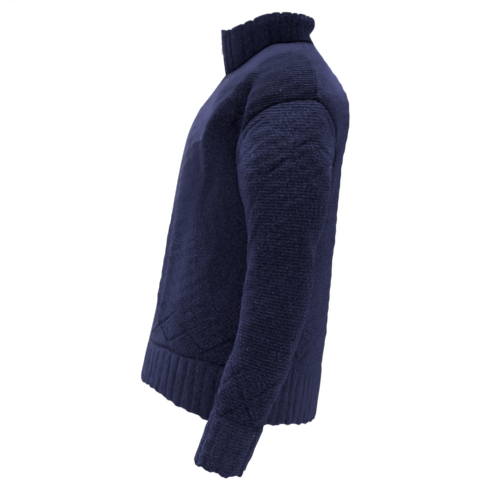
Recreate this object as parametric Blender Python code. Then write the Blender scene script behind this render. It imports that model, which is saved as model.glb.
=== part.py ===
"""Zip-up cardigan in chunky knitted wool, filled out as on a wearer, with no wearer.

Metres, +Z up. The wearer faces -Y, and the wearer's left is +X. The origin is the middle of the neck at the
height of the high shoulder points, where the wearer carries the garment.

The body is one skin, worked out from rings that run round it from the hem to the neck. A ring has a front
point and a back point on the middle line and a side point on the wearer's left, joined by a superellipse.
`up` is the distance up the side from the hem, and `turn` goes round the ring in degrees: 0 at the front
middle, 90 at the wearer's left side, 180 at the back middle. The fronts and the back are cut from that skin
along the side seams, the shoulder seams, the armholes and the zip, and each gets a knitted wall inwards.
"""

import math

import bpy
import numpy as np

# Cloth
WALL = 0.0032  # thickness of the chunky knit
SEAM_GAP = 0.0003  # room between two pieces at a seam
RIB_RISE = 0.0022  # how far a rib stands up from its groove
WELT_RISE = 0.0016  # how far the purl welts stand up

# Front opening and zip
EDGE_HALF = 0.0060  # the knitted edges lie this far from the middle line
CHAIN_HALF = 0.0030
CHAIN_DEPTH = 0.0024
TAPE_WIDTH = 0.0125
TAPE_WALL = 0.0009
TAPE_BACK = 0.0008  # room between the tape and the knit's inside
SLIDER_HEIGHT = 0.0170  # above the origin
SLIDER_SIZE = (0.0086, 0.0026, 0.0105)  # across, out and along
BRIDGE_LENGTH = 0.0076
BRIDGE_WIDTH = 0.0022
BRIDGE_WALL = 0.0010
BRIDGE_RISE = 0.0034  # above the slider's plate
PULL_LENGTH = 0.0200
PULL_WIDTH = 0.0066
PULL_BAR = 0.0012  # thickness of the pull, and of the bar at its eye
PULL_EYE = 0.0062
BOX_LENGTH = 0.0130
TAPE_LOW = 0.0030  # the tapes start this far above the hem
TAPE_SHORT = 0.14  # and stop short of the collar's top edge, as a share of its last mesh step

# Rings of the body, from the hem to the neck
BODY_COLUMNS = ("up", "frontY", "frontZ", "sideX", "sideY", "sideZ", "backY", "backZ")
BODY_COLUMNS += ("frontSquare", "backSquare")  # how boxy a ring's front and back are, 2 for an ellipse
BODY_ROWS = (
    (0.000, -0.2400, -0.596, 0.220, -0.080, -0.644, 0.078, -0.659, 2.05, 2.5),
    (0.080, -0.2270, -0.535, 0.223, -0.066, -0.562, 0.088, -0.580, 2.1, 2.5),
    (0.160, -0.2120, -0.468, 0.218, -0.050, -0.482, 0.099, -0.496, 2.15, 2.5),
    (0.235, -0.2000, -0.400, 0.209, -0.030, -0.406, 0.104, -0.412, 2.2, 2.5),
    (0.310, -0.1875, -0.322, 0.199, -0.004, -0.326, 0.111, -0.325, 2.3, 2.6),
    (0.380, -0.1765, -0.257, 0.212, 0.012, -0.256, 0.117, -0.245, 2.3, 2.7),
    (0.450, -0.1655, -0.200, 0.231, 0.026, -0.188, 0.127, -0.166, 2.3, 2.8),
    (0.515, -0.1520, -0.148, 0.243, 0.036, -0.124, 0.131, -0.112, 2.2, 2.8),
    (0.570, -0.1345, -0.111, 0.219, 0.040, -0.077, 0.121, -0.078, 2.1, 2.5),
    (0.635, -0.1110, -0.079, 0.160, 0.036, -0.034, 0.104, -0.037, 2.0, 2.2),
    (0.730, -0.084, -0.0415, 0.075, 0.0105, 0.003, 0.0785, 0.012, 2.0, 2.0),
)
SHOULDER_UP = 0.515
NECK_UP = 0.730

# Seams: the side seam is straight, and the shoulder seam lies to the rear of the shoulder's crest
SEAM_COLUMNS = ("up", "turn")
SEAM_ROWS = (
    (0.000, 92.0),
    (0.310, 94.0),
    (0.515, 99.0),
    (0.570, 103.0),
    (0.635, 108.0),
    (0.730, 127.0),
)

# Armhole, a loop on the body's skin
ARMHOLE_LOW = 0.310
ARMHOLE_FRONT = 34.0  # turn from the seam line to its foremost edge
ARMHOLE_BACK = 44.0
ARMHOLE_FRONT_SQUARE = 3.0
ARMHOLE_BACK_SQUARE = 1.3
ARMHOLE_FRONT_TAPER = 0.33  # how fast it draws in below its widest point
ARMHOLE_WIDEST = 0.45  # where that is, from -1 at its foot to 1 at its top
ARMHOLE_STEPS = 10  # mesh steps from its lowest point to its top

# Ribbed hem and the chevron above it
HEM_RIBS = 15  # a quarter of the way round
HEM_TOP = 0.086
CHEVRON_LOW = 0.106
CHEVRON_RISE = 0.028
CHEVRON_BAND = 0.008
CHEVRON_VALLEY = 71.0  # turn of the lowest point of one chevron, and
CHEVRON_TURN = 27.25  # the turn from one to the next, which sets a valley on the back's middle line
CHEVRON_COLUMNS = 4  # mesh columns to a chevron

# Folds: soft ridges and troughs, each along a straight line in turn and up, the same on both sides
GIRTH = 0.0033  # metres of cloth to a degree of turn
FOLD_COLUMNS = ("turnA", "upA", "turnB", "upB", "width", "rise")
BODY_FOLDS = (
    (40.0, 0.665, 52.0, 0.430, 0.030, 0.009),
    (50.0, 0.600, 68.0, 0.400, 0.022, -0.012),
    (24.0, 0.420, 20.0, 0.130, 0.020, 0.003),
    (38.0, 0.360, 32.0, 0.120, 0.022, -0.003),
    (150.0, 0.560, 158.0, 0.200, 0.030, 0.005),
    (136.0, 0.420, 128.0, 0.240, 0.026, -0.006),
)

# Collar rings: rise 0 is the neck seam and 1 the top edge
COLLAR_COLUMNS = ("rise", "frontY", "frontZ", "sideX", "sideY", "sideZ", "backY", "backZ")
COLLAR_ROWS = (
    (0.00, -0.0840, -0.0415, 0.0750, 0.0105, 0.0030, 0.0785, 0.0120),
    (0.30, -0.0880, -0.0180, 0.0775, 0.0095, 0.0190, 0.0725, 0.0225),
    (0.55, -0.0905, 0.0015, 0.0790, 0.0090, 0.0330, 0.0690, 0.0335),
    (0.80, -0.0920, 0.0195, 0.0795, 0.0095, 0.0465, 0.0780, 0.0470),
    (1.00, -0.0930, 0.0340, 0.0780, 0.0110, 0.0580, 0.0780, 0.0590),
)
COLLAR_LEVELS = (0.0, 0.15, 0.30, 0.46, 0.60, 0.78, 1.0)  # mesh rows of its inside
COLLAR_RIBS = 12  # broad ribs round the collar, each with a narrow one beside it
COLLAR_RIB_SHAPE = ((0.00, 0.0), (0.06, 0.8), (0.31, 1.0), (0.56, 0.8), (0.63, 0.0), (0.71, 0.8), (0.92, 0.8))
COLLAR_RIB_RISE = 0.0021
COLLAR_SCALLOP = 0.0018  # the top edge dips between the ribs
COLLAR_CORNER_RISE = 0.0080  # the edge beside the zip stands a little taller than the ribs
COLLAR_CORNER_WIDTH = 0.0200

# Sleeve sections: the outer and the inner point of each ring, in X and Z, its middle in Y, its half depth
# from front to back, and how far it leans forwards with the forearm, in degrees
SLEEVE_COLUMNS = ("along", "outerX", "outerZ", "innerX", "innerZ", "middleY", "halfDepth", "lean")
SLEEVE_ROWS = (
    (0.00, 0.2430, -0.1240, 0.1990, -0.3260, 0.0200, 0.0860, 0.0),
    (0.06, 0.2640, -0.1540, 0.2120, -0.3290, 0.0180, 0.0780, 0.0),
    (0.14, 0.2870, -0.2000, 0.2230, -0.3430, 0.0150, 0.0700, 2.0),
    (0.24, 0.3050, -0.2620, 0.2310, -0.3680, 0.0138, 0.0625, 2.0),
    (0.34, 0.3160, -0.3250, 0.2350, -0.4040, 0.0106, 0.0540, 4.0),
    (0.46, 0.3240, -0.3950, 0.2390, -0.4460, 0.0023, 0.0530, 8.0),
    (0.58, 0.3300, -0.4600, 0.2430, -0.4880, -0.0086, 0.0500, 12.0),
    (0.69, 0.3340, -0.5180, 0.2470, -0.5320, -0.0246, 0.0465, 17.0),
    (0.79, 0.3350, -0.5720, 0.2500, -0.5780, -0.0438, 0.0445, 20.0),
    (0.88, 0.3350, -0.6260, 0.2520, -0.6260, -0.0625, 0.0415, 19.0),
    (1.00, 0.3340, -0.7000, 0.2530, -0.6880, -0.0900, 0.0390, 13.0),
)
CUFF_ALONG = 0.875
CUFF_RIBS = 13
SLEEVE_RINGS = 13  # plain rings between the armhole and the cuff
SLEEVE_BLEND = 0.16  # the armhole's own shape fades out over this share of the sleeve
SLEEVE_FOLD_COLUMNS = ("round", "along", "slope", "width", "rise")
SLEEVE_FOLDS = (
    (150.0, 0.40, 0.10, 0.050, 0.005),
    (200.0, 0.47, -0.12, 0.045, -0.005),
    (120.0, 0.56, 0.10, 0.045, 0.004),
    (60.0, 0.50, 0.08, 0.050, -0.003),
    (-40.0, 0.66, -0.10, 0.045, 0.004),
    (170.0, 0.74, 0.08, 0.040, -0.004),
    (250.0, 0.30, 0.12, 0.055, -0.005),
)

WOOL = {"color": (0.016, 0.018, 0.042, 1.0), "rough": 0.9, "metal": 0.0}
RIB_WOOL = {"color": (0.014, 0.016, 0.038, 1.0), "rough": 0.92, "metal": 0.0}
TAPE = {"color": (0.008, 0.009, 0.018, 1.0), "rough": 0.75, "metal": 0.0}
STEEL = {"color": (0.62, 0.62, 0.63, 1.0), "rough": 0.28, "metal": 1.0}


def table(columns, rows):
    """The rows as a dictionary of columns."""
    return dict(zip(columns, np.array(rows, dtype=float).T))


BODY = table(BODY_COLUMNS, BODY_ROWS)
SEAMS = table(SEAM_COLUMNS, SEAM_ROWS)
COLLAR = table(COLLAR_COLUMNS, COLLAR_ROWS)
SLEEVE = table(SLEEVE_COLUMNS, SLEEVE_ROWS)


def smooth(knots, values, x):
    """A smooth curve through the values, with slopes taken from the neighbours."""
    x = np.clip(x, knots[0], knots[-1])
    slopes = np.gradient(values, knots)
    i = np.clip(np.searchsorted(knots, x, side="right") - 1, 0, len(knots) - 2)
    step = knots[i + 1] - knots[i]
    t = (x - knots[i]) / step
    rest = 1.0 - t
    start = values[i] * (1 + 2 * t) * rest**2 + values[i + 1] * (3 - 2 * t) * t**2
    return start + step * t * rest * (slopes[i] * rest - slopes[i + 1] * t)


def column(rows, name, x):
    """One column of a table, read at x along the table's first column."""
    first = next(iter(rows))
    return smooth(rows[first], rows[name], x)


def unit(v):
    return v / np.maximum(np.linalg.norm(v, axis=-1, keepdims=True), 1e-12)


def ring_point(turn, front, side, back, square_front, square_back):
    """A point of a ring. front and back are (y, z), side is (x, y, z), turn is in degrees."""
    a = np.radians(turn)
    c = np.cos(a)
    s = np.sin(a)
    ahead = c >= 0
    square = np.where(ahead, square_front, square_back)
    across = np.sign(s) * np.abs(s) ** (2 / square)
    reach = np.abs(c) ** (2 / square)
    level = c * c * (3 - 2 * np.abs(c))
    end_y = np.where(ahead, front[0], back[0])
    end_z = np.where(ahead, front[1], back[1])
    x = side[0] * across
    y = side[1] + (end_y - side[1]) * reach
    z = side[2] + (end_z - side[2]) * level
    return np.stack([x, y, z], axis=-1)


def body_ring(turn, up):
    """The body's skin with no folds."""
    turn, up = np.broadcast_arrays(np.asarray(turn, float), np.asarray(up, float))
    read = {name: column(BODY, name, up) for name in BODY_COLUMNS[1:]}
    return ring_point(
        turn,
        (read["frontY"], read["frontZ"]),
        (read["sideX"], read["sideY"], read["sideZ"]),
        (read["backY"], read["backZ"]),
        read["frontSquare"],
        read["backSquare"],
    )


def normals(surface, u, v, du, dv):
    """Unit normals of surface(u, v), along its u tangent x its v tangent."""
    along_u = surface(u + du, v) - surface(u - du, v)
    along_v = surface(u, v + dv) - surface(u, v - dv)
    return unit(np.cross(along_u, along_v))


def body_folds(turn, up):
    """How far the folds lift the body's skin."""
    lift = np.zeros(np.broadcast(turn, up).shape)
    for row in BODY_FOLDS:
        fold = dict(zip(FOLD_COLUMNS, row))
        run = np.array([(fold["turnB"] - fold["turnA"]) * GIRTH, fold["upB"] - fold["upA"]])
        px = (turn - fold["turnA"]) * GIRTH
        py = up - fold["upA"]
        share = np.clip((px * run[0] + py * run[1]) / (run @ run), 0.0, 1.0)
        off = np.hypot(px - share * run[0], py - share * run[1]) / fold["width"]
        ends = np.sin(np.pi * np.clip(0.12 + 0.76 * share, 0.0, 1.0))
        lift = lift + fold["rise"] * ends * np.exp(-off**2)
    return lift


def body_calm(turn, up):
    """Folds die out at the hem, the zip and the neck."""
    hem = np.clip((up - 0.02) / 0.12, 0.0, 1.0)
    neck = np.clip((NECK_UP - up) / 0.06, 0.0, 1.0)
    beside_zip = np.clip(turn / 12.0, 0.0, 1.0)
    return hem * neck * beside_zip


def body(turn, up):
    """The body's outer skin."""
    turn, up = np.broadcast_arrays(np.asarray(turn, float), np.asarray(up, float))
    side = np.abs(np.where(turn > 180.0, turn - 360.0, turn))
    lift = body_folds(side, up) * body_calm(side, up)
    out = normals(body_ring, turn, up, 0.5, 0.002)
    return body_ring(turn, up) + out * lift[..., None]


def body_out(turn, up):
    return normals(body, np.asarray(turn, float), np.asarray(up, float), 0.4, 0.0015)


def seam_turn(up):
    return column(SEAMS, "turn", up)


def armhole_reach(up):
    """How far the armhole's edges lie from the seam line at a height: turn to the front and to the back."""
    middle = 0.5 * (ARMHOLE_LOW + SHOULDER_UP)
    half = 0.5 * (SHOULDER_UP - ARMHOLE_LOW)
    place = np.clip((up - middle) / half, -1.0, 1.0)
    q = np.abs(place)
    low = np.clip(-place, 0.0, 1.0)
    taper = 1 - ARMHOLE_FRONT_TAPER * np.maximum(ARMHOLE_WIDEST - place, 0.0)
    front = ARMHOLE_FRONT * taper * (1 - q**ARMHOLE_FRONT_SQUARE) ** (1 / ARMHOLE_FRONT_SQUARE)
    square = ARMHOLE_BACK_SQUARE + 0.9 * low
    back = ARMHOLE_BACK * (1 - q**square) ** (1 / square)
    return front, back


def armhole_heights(steps):
    """Heights of the mesh rows beside the armhole, close together at its foot and its top."""
    middle = 0.5 * (ARMHOLE_LOW + SHOULDER_UP)
    half = 0.5 * (SHOULDER_UP - ARMHOLE_LOW)
    return middle - half * np.cos(np.pi * np.arange(steps + 1) / steps)


def sleeve_ring(around, along):
    """The sleeve's tube with no folds: around is 0 at the outer point, 90 in front, 180 inside."""
    around, along = np.broadcast_arrays(np.asarray(around, float), np.asarray(along, float))
    read = {name: column(SLEEVE, name, along) for name in SLEEVE_COLUMNS[1:]}
    outer = np.stack([read["outerX"], read["middleY"], read["outerZ"]], axis=-1)
    inner = np.stack([read["innerX"], read["middleY"], read["innerZ"]], axis=-1)
    lean = np.radians(read["lean"])
    ahead = np.stack([np.zeros_like(lean), -np.cos(lean), np.sin(lean)], axis=-1)
    a = np.radians(around)
    middle = 0.5 * (outer + inner)
    half = 0.5 * (outer - inner)
    return middle + half * np.cos(a)[..., None] + ahead * (read["halfDepth"] * np.sin(a))[..., None]


def armhole_at(around):
    """The armhole loop's point for an angle round the sleeve."""
    around = np.asarray(around, float) % 360.0
    middle = 0.5 * (ARMHOLE_LOW + SHOULDER_UP)
    half = 0.5 * (SHOULDER_UP - ARMHOLE_LOW)
    up = middle + half * np.cos(np.radians(around))
    front, back = armhole_reach(up)
    turn = seam_turn(up) + np.where(around <= 180.0, -front, back)
    return body(turn, up), turn, up


def sleeve_folds(around, along):
    """Soft slanting folds, mostly behind and inside the elbow."""
    lift = np.zeros(np.broadcast(around, along).shape)
    for row in SLEEVE_FOLDS:
        fold = dict(zip(SLEEVE_FOLD_COLUMNS, row))
        apart = (around - fold["round"] + 180.0) % 360.0 - 180.0
        line = along - fold["along"] - fold["slope"] * apart / 90.0
        lift = lift + fold["rise"] * np.exp(-((line / fold["width"]) ** 2) - (apart / 75.0) ** 2)
    return lift * np.clip(along / 0.15, 0.0, 1.0) * np.clip((0.95 - along) / 0.1, 0.0, 1.0)


def sleeve(around, along):
    """The left sleeve's outer skin, which starts as the armhole loop."""
    around, along = np.broadcast_arrays(np.asarray(around, float), np.asarray(along, float))
    base = sleeve_ring(around, along)
    out = normals(sleeve_ring, around, along, 1.0, 0.01)
    tube = base + out * sleeve_folds(around, along)[..., None]
    loop = armhole_at(around)[0]
    fade = np.clip(1 - along / SLEEVE_BLEND, 0.0, 1.0)
    fade = fade * fade * (3 - 2 * fade)
    return tube + (loop - sleeve_ring(around, np.zeros_like(along))) * fade[..., None]


def sleeve_out(around, along):
    along = np.clip(np.asarray(along, float), 0.004, 0.996)
    return normals(sleeve, np.asarray(around, float), along, 0.8, 0.004)


def collar(turn, rise):
    """The collar's outer skin."""
    turn, rise = np.broadcast_arrays(np.asarray(turn, float), np.asarray(rise, float))
    read = {name: column(COLLAR, name, rise) for name in COLLAR_COLUMNS[1:]}
    skin = ring_point(
        turn,
        (read["frontY"], read["frontZ"]),
        (read["sideX"], read["sideY"], read["sideZ"]),
        (read["backY"], read["backZ"]),
        2.0,
        2.0,
    )
    ahead = np.cos(np.radians(turn)) > 0
    corner = np.exp(-(((np.abs(skin[..., 0]) - EDGE_HALF) / COLLAR_CORNER_WIDTH) ** 2)) * ahead
    lift = COLLAR_CORNER_RISE * corner * np.clip(rise, 0.0, 1.0) ** 2
    return skin + lift[..., None] * np.array([0.0, 0.0, 1.0])


def collar_out(turn, rise):
    rise = np.clip(np.asarray(rise, float), 0.01, 0.99)
    return normals(collar, np.asarray(turn, float), rise, 0.5, 0.01)


def turn_at(x, side_x, square):
    """The turn at which a ring lies x from the middle line."""
    return np.degrees(np.arcsin((x / side_x) ** (square / 2)))


def body_opening(up):
    return turn_at(EDGE_HALF, column(BODY, "sideX", up), column(BODY, "frontSquare", up))


def collar_opening(rise):
    return turn_at(EDGE_HALF, column(COLLAR, "sideX", rise), 2.0)


def mitre(out_a, out_b, thickness):
    """The wall's thickness vector at a seam where two skins meet at an angle."""
    middle = unit(out_a + out_b)
    lean = np.clip(np.sum(middle * out_a, axis=-1, keepdims=True), 0.6, 1.0)
    return middle * thickness / lean


class Shell:
    """A knitted wall: an outer skin and a plain inside, each a list of rows, closed round its rim."""

    def __init__(self):
        self.points = []
        self.faces = []

    def row(self, points, params):
        start = len(self.points)
        self.points.extend(map(tuple, points))
        return list(range(start, start + len(points))), list(params)

    def stitch(self, low, high, flip=False):
        """Fills the strip between two rows, whose numbers of points may differ."""
        (a, pa), (b, pb) = low, high
        i = 0
        j = 0
        while i < len(a) - 1 or j < len(b) - 1:
            take_a = j == len(b) - 1
            if i < len(a) - 1 and j < len(b) - 1:
                take_a = pa[i + 1] + pa[i] <= pb[j + 1] + pb[j]
            if take_a:
                face = (a[i], a[i + 1], b[j])
                i += 1
            else:
                face = (a[i], b[j + 1], b[j])
                j += 1
            if len(set(face)) == 3:
                self.faces.append(face[::-1] if flip else face)

    def skin(self, rows, flip=False):
        for low, high in zip(rows, rows[1:]):
            self.stitch(low, high, flip)

    def close_panel(self, outer, inner, levels_out, levels_in):
        """Rims of a panel: its first and last rows, and the two sides, matched by the rows' levels."""
        self.stitch(outer[0], inner[0], flip=True)
        self.stitch(outer[-1], inner[-1])
        for end, flip in ((0, False), (-1, True)):
            rim_out = ([r[0][end] for r in outer], levels_out)
            rim_in = ([r[0][end] for r in inner], levels_in)
            self.stitch(rim_out, rim_in, flip=flip)

    def close_tube(self, outer, inner):
        self.stitch(outer[0], inner[0], flip=True)
        self.stitch(outer[-1], inner[-1])

    def object(self, name, finish, mirror=False):
        points = np.array(self.points)
        faces = self.faces
        if mirror:
            points = points * np.array([-1.0, 1.0, 1.0])
            faces = [f[::-1] for f in faces]
        return make_object(name, points, faces, finish)


def material(name, finish):
    """A Principled material, made once for each name."""
    made = bpy.data.materials.get(name)
    if made is None:
        made = bpy.data.materials.new(name)
        made.use_nodes = True
        shader = made.node_tree.nodes["Principled BSDF"]
        shader.inputs["Base Color"].default_value = finish["color"]
        shader.inputs["Roughness"].default_value = finish["rough"]
        shader.inputs["Metallic"].default_value = finish["metal"]
    return made


def make_object(name, points, faces, finish):
    mesh = bpy.data.meshes.new(name)
    mesh.from_pydata([tuple(p) for p in points], [], [tuple(f) for f in faces])
    mesh.update()
    mesh.shade_smooth()
    mesh.set_sharp_from_angle(angle=math.radians(50))
    mesh.materials.append(material(name + "_finish", finish))
    made = bpy.data.objects.new(name, mesh)
    bpy.context.collection.objects.link(made)
    return made


def rib_columns(count):
    """Shares of a row at the groove and the two shoulders and crest of each rib."""
    steps = np.array([0.0, 0.26, 0.50, 0.74])
    shares = (np.arange(count)[:, None] + steps[None, :]).ravel() / count
    return np.append(shares, 1.0)


def panel_edges(panel, up):
    """The turns of a panel's two ends at a height."""
    seam = seam_turn(up)
    front, back = armhole_reach(up)
    beside = (up > ARMHOLE_LOW) & (up < SHOULDER_UP)
    front = np.where(beside, front, 0.0)
    back = np.where(beside, back, 0.0)
    if panel == "front":
        return body_opening(up), seam - front
    return seam + back, 360.0 - seam - back


def body_heights(beside_armhole):
    """Mesh rows above the chevron, up to the neck: at even heights, or as they meet the armhole's edge."""
    plain = np.array([0.172, 0.205, 0.240, 0.275])
    above = np.array([0.545, 0.580, 0.620, 0.665, 0.705])
    even = np.linspace(ARMHOLE_LOW, SHOULDER_UP, ARMHOLE_STEPS + 1)
    middle = armhole_heights(ARMHOLE_STEPS) if beside_armhole else even
    return np.concatenate([plain, middle, above, [NECK_UP]])


def column_shares(panel):
    """Where a panel's mesh columns lie along a row: at the points of the chevron and between them."""
    first, last = panel_edges(panel, 0.0)
    step = CHEVRON_TURN / CHEVRON_COLUMNS
    turns = CHEVRON_VALLEY + step * np.arange(-CHEVRON_COLUMNS * 3, CHEVRON_COLUMNS * 4 + 1)
    turns = np.concatenate([turns, 360.0 - turns[-2::-1]])
    inside = turns[(turns > first + 0.6 * step) & (turns < last - 0.6 * step)]
    return np.concatenate([[0.0], (inside - first) / (last - first), [1.0]])


def chevron(panel, share):
    """A zigzag round the body, from 0 at its lowest points to 1."""
    first, last = panel_edges(panel, 0.0)
    turn = first + (last - first) * share
    phase = (np.minimum(turn, 360.0 - turn) - CHEVRON_VALLEY) / CHEVRON_TURN
    return 2.0 * np.abs(phase - np.round(phase))


def body_panel(name, panel, mirror=False):
    """A front or the back: ribbed hem, chevron band and plain knit, with a plain inside."""
    quarters = 1 if panel == "front" else 2
    shares = column_shares(panel)
    ribs = rib_columns(HEM_RIBS * quarters)
    # a groove, not half a rib, lies at each end of a panel
    rib_height = np.tile([0.0, 0.85, 1.0, 0.85], HEM_RIBS * quarters)
    rib_height = np.append(rib_height, 0.0)
    shell = Shell()

    def place(share, up, lift, inside=False):
        share = np.asarray(share, float)
        even, edge = up if isinstance(up, tuple) else (up, up)
        near = share**2 if panel == "front" else (2 * share - 1) ** 2
        first, last = panel_edges(panel, np.asarray(edge, float))
        turn = first + (last - first) * share
        up = even + (edge - even) * near
        skin = body(turn, up)
        out = body_out(turn, up)
        thick = seam_thickness(panel, share, turn, up, out)
        points = skin - thick if inside else skin + out * np.asarray(lift)[..., None]
        return points

    flat = np.zeros(len(shares))
    zigzag = chevron(panel, shares) * CHEVRON_RISE
    rib_levels = [0.0, 0.5 * HEM_TOP, HEM_TOP - 0.004]
    band = ((0.0, 0.0), (0.5, WELT_RISE), (1.0, 0.0))
    band_levels = [CHEVRON_LOW + share * CHEVRON_BAND for share, _ in band]
    outer = [(place(ribs, up, rib_height * RIB_RISE), ribs) for up in rib_levels]
    outer.append((place(shares, HEM_TOP + 0.004, flat), shares))
    for level, (_, lift) in zip(band_levels, band):
        outer.append((place(shares, level + zigzag, flat + lift), shares))
    plain = list(zip(body_heights(False), body_heights(True)))
    outer += [(place(shares, ups, flat), shares) for ups in plain]
    hem_inside = [0.0, 0.5 * HEM_TOP, HEM_TOP, 0.13]
    inner = [(place(shares, ups, flat, inside=True), shares) for ups in hem_inside + plain]
    levels_out = rib_levels + [HEM_TOP + 0.004] + band_levels + [ups[0] for ups in plain]
    levels_in = hem_inside + [ups[0] for ups in plain]

    move_rim(outer)
    move_rim(inner)
    rows_out = [shell.row(points, share) for points, share in outer]
    rows_in = [shell.row(points, share) for points, share in inner]
    shell.skin(rows_out)
    shell.skin(rows_in, flip=True)
    shell.close_panel(rows_out, rows_in, levels_out, levels_in)
    return shell.object(name, WOOL, mirror)


def seam_thickness(panel, share, turn, up, out):
    """The wall's thickness vectors: mitred at the armhole and the neck, straight elsewhere."""
    thick = out * WALL
    ends = [1.0] if panel == "front" else [0.0, 1.0]
    beside = (up >= ARMHOLE_LOW - 1e-9) & (up <= SHOULDER_UP + 1e-9)
    for end in ends:
        here = beside & (np.abs(share - end) < 1e-9)
        if np.any(here):
            middle = 0.5 * (ARMHOLE_LOW + SHOULDER_UP)
            half = 0.5 * (SHOULDER_UP - ARMHOLE_LOW)
            around = np.degrees(np.arccos(np.clip((up[here] - middle) / half, -1.0, 1.0)))
            around = around if panel == "front" else 360.0 - around
            other = sleeve_out(around, np.zeros_like(around))
            if panel == "back" and end == 1.0:
                other = other * np.array([-1.0, 1.0, 1.0])
            thick[here] = mitre(out[here], other, WALL)
    top = up >= NECK_UP - 1e-9
    if np.any(top):
        thick[top] = mitre(out[top], collar_out(turn[top], np.zeros(int(top.sum()))), WALL)
    return thick


def move_rim(rows):
    """Draws a panel's four edges in by half the seam gap, within its own surface."""
    half = 0.5 * SEAM_GAP
    first, last = rows[0][0], rows[-1][0]
    for points, _ in rows:
        points[0] += half * unit(points[1] - points[0])
        points[-1] += half * unit(points[-2] - points[-1])
    last += half * unit(nearest_below(last, rows[-2][0]) - last)


def nearest_below(row, below):
    """The neighbouring row's points, one for each point of this row."""
    index = np.round(np.linspace(0, len(below) - 1, len(row))).astype(int)
    return below[index]


def sleeve_piece(name, mirror=False):
    """A sleeve with its ribbed cuff, a closed tube."""
    shell = Shell()
    steps = 2 * ARMHOLE_STEPS
    coarse = 180.0 * np.arange(steps + 1) / ARMHOLE_STEPS
    ribs = rib_columns(CUFF_RIBS)
    rib_height = np.append(np.tile([0.0, 0.85, 1.0, 0.85], CUFF_RIBS), 0.0)
    alongs = CUFF_ALONG * (np.arange(SLEEVE_RINGS + 1) / SLEEVE_RINGS) ** 1.08

    def ring(around, along, lift, inside):
        along = np.full(len(around), along)
        skin = sleeve(around, along)
        out = sleeve_out(around, along)
        if along[0] == 0.0:
            _, turn, up = armhole_at(around)
            thick = mitre(out, body_out(turn, up), WALL)
            down = unit(sleeve(around, along + 0.01) - skin)
            skin = skin + down * (0.5 * SEAM_GAP)
        else:
            thick = out * WALL
        points = skin - thick if inside else skin + out * np.asarray(lift)[..., None]
        points[-1] = points[0]
        return points

    outer = [(ring(coarse, along, np.zeros(steps + 1), False), coarse) for along in alongs]
    for along in (CUFF_ALONG + 0.01, 0.5 * (CUFF_ALONG + 1.0), 1.0):
        outer.append((ring(ribs * 360.0, along, rib_height * RIB_RISE, False), ribs * 360.0))
    inner_alongs = list(alongs) + [0.5 * (CUFF_ALONG + 1.0), 1.0]
    inner = [(ring(coarse, along, np.zeros(steps + 1), True), coarse) for along in inner_alongs]
    rows_out = [closed_row(shell, points, around) for points, around in outer]
    rows_in = [closed_row(shell, points, around) for points, around in inner]
    shell.skin(rows_out)
    shell.skin(rows_in, flip=True)
    shell.close_tube(rows_out, rows_in)
    return shell.object(name, WOOL, mirror)


def closed_row(shell, points, params):
    """A ring of points whose last one is the first."""
    ids, _ = shell.row(points[:-1], params[:-1])
    return ids + ids[:1], list(params)


def collar_piece():
    """The stand collar, with broad and narrow ribs and a plain edge beside the zip."""
    shell = Shell()
    shape = np.array(COLLAR_RIB_SHAPE)
    shares = (np.arange(COLLAR_RIBS)[:, None] + shape[None, :, 0]).ravel() / COLLAR_RIBS
    shares = np.append(shares, 1.0)
    lifts = np.append(np.tile(shape[:, 1], COLLAR_RIBS), 0.0)
    seam = float(seam_turn(NECK_UP))
    start = float(body_opening(NECK_UP))
    left = start + (seam - start) * column_shares("front")
    behind = seam + (360.0 - 2 * seam) * column_shares("back")
    base = np.concatenate([left, behind[1:], 360.0 - left[::-1][1:]])
    base_shares = (base - start) / (360.0 - 2 * start)

    def place(share, rise, lift, inside):
        first = collar_opening(np.full(len(share), rise))
        turn = first + (360.0 - 2 * first) * share
        rises = np.full(len(share), rise)
        skin = collar(turn, rises)
        out = collar_out(turn, rises)
        thick = out * WALL
        if rise == 0.0:
            thick = mitre(out, body_out(turn, np.full(len(share), NECK_UP)), WALL)
            skin = skin + unit(collar(turn, rises + 0.02) - skin) * (0.5 * SEAM_GAP)
        points = skin - thick if inside else skin + out * np.asarray(lift)[..., None]
        return points

    flat = np.zeros(len(base))
    rib_levels = [0.08, 0.30, 0.46, 0.60, 0.78, 0.92]
    levels_out = [0.0] + rib_levels + [1.0]
    levels_in = list(COLLAR_LEVELS)
    outer = [(place(base_shares, 0.0, flat, False), base_shares)]
    outer += [(place(shares, rise, lifts * COLLAR_RIB_RISE, False), shares) for rise in rib_levels]
    top = place(shares, 1.0, lifts * COLLAR_RIB_RISE * 0.6, False)
    top[:, 2] += (lifts - 1.0) * COLLAR_SCALLOP
    outer.append((top, shares))
    inner = [(place(base_shares, rise, flat, True), base_shares) for rise in levels_in]
    for rows in (outer, inner):
        for points, _ in rows:
            points[0] += 0.5 * SEAM_GAP * unit(points[1] - points[0])
            points[-1] += 0.5 * SEAM_GAP * unit(points[-2] - points[-1])
    rows_out = [shell.row(points, share) for points, share in outer]
    rows_in = [shell.row(points, share) for points, share in inner]
    shell.skin(rows_out)
    shell.skin(rows_in, flip=True)
    shell.close_panel(rows_out, rows_in, levels_out, levels_in)
    return shell.object("collar", RIB_WOOL)


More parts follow.
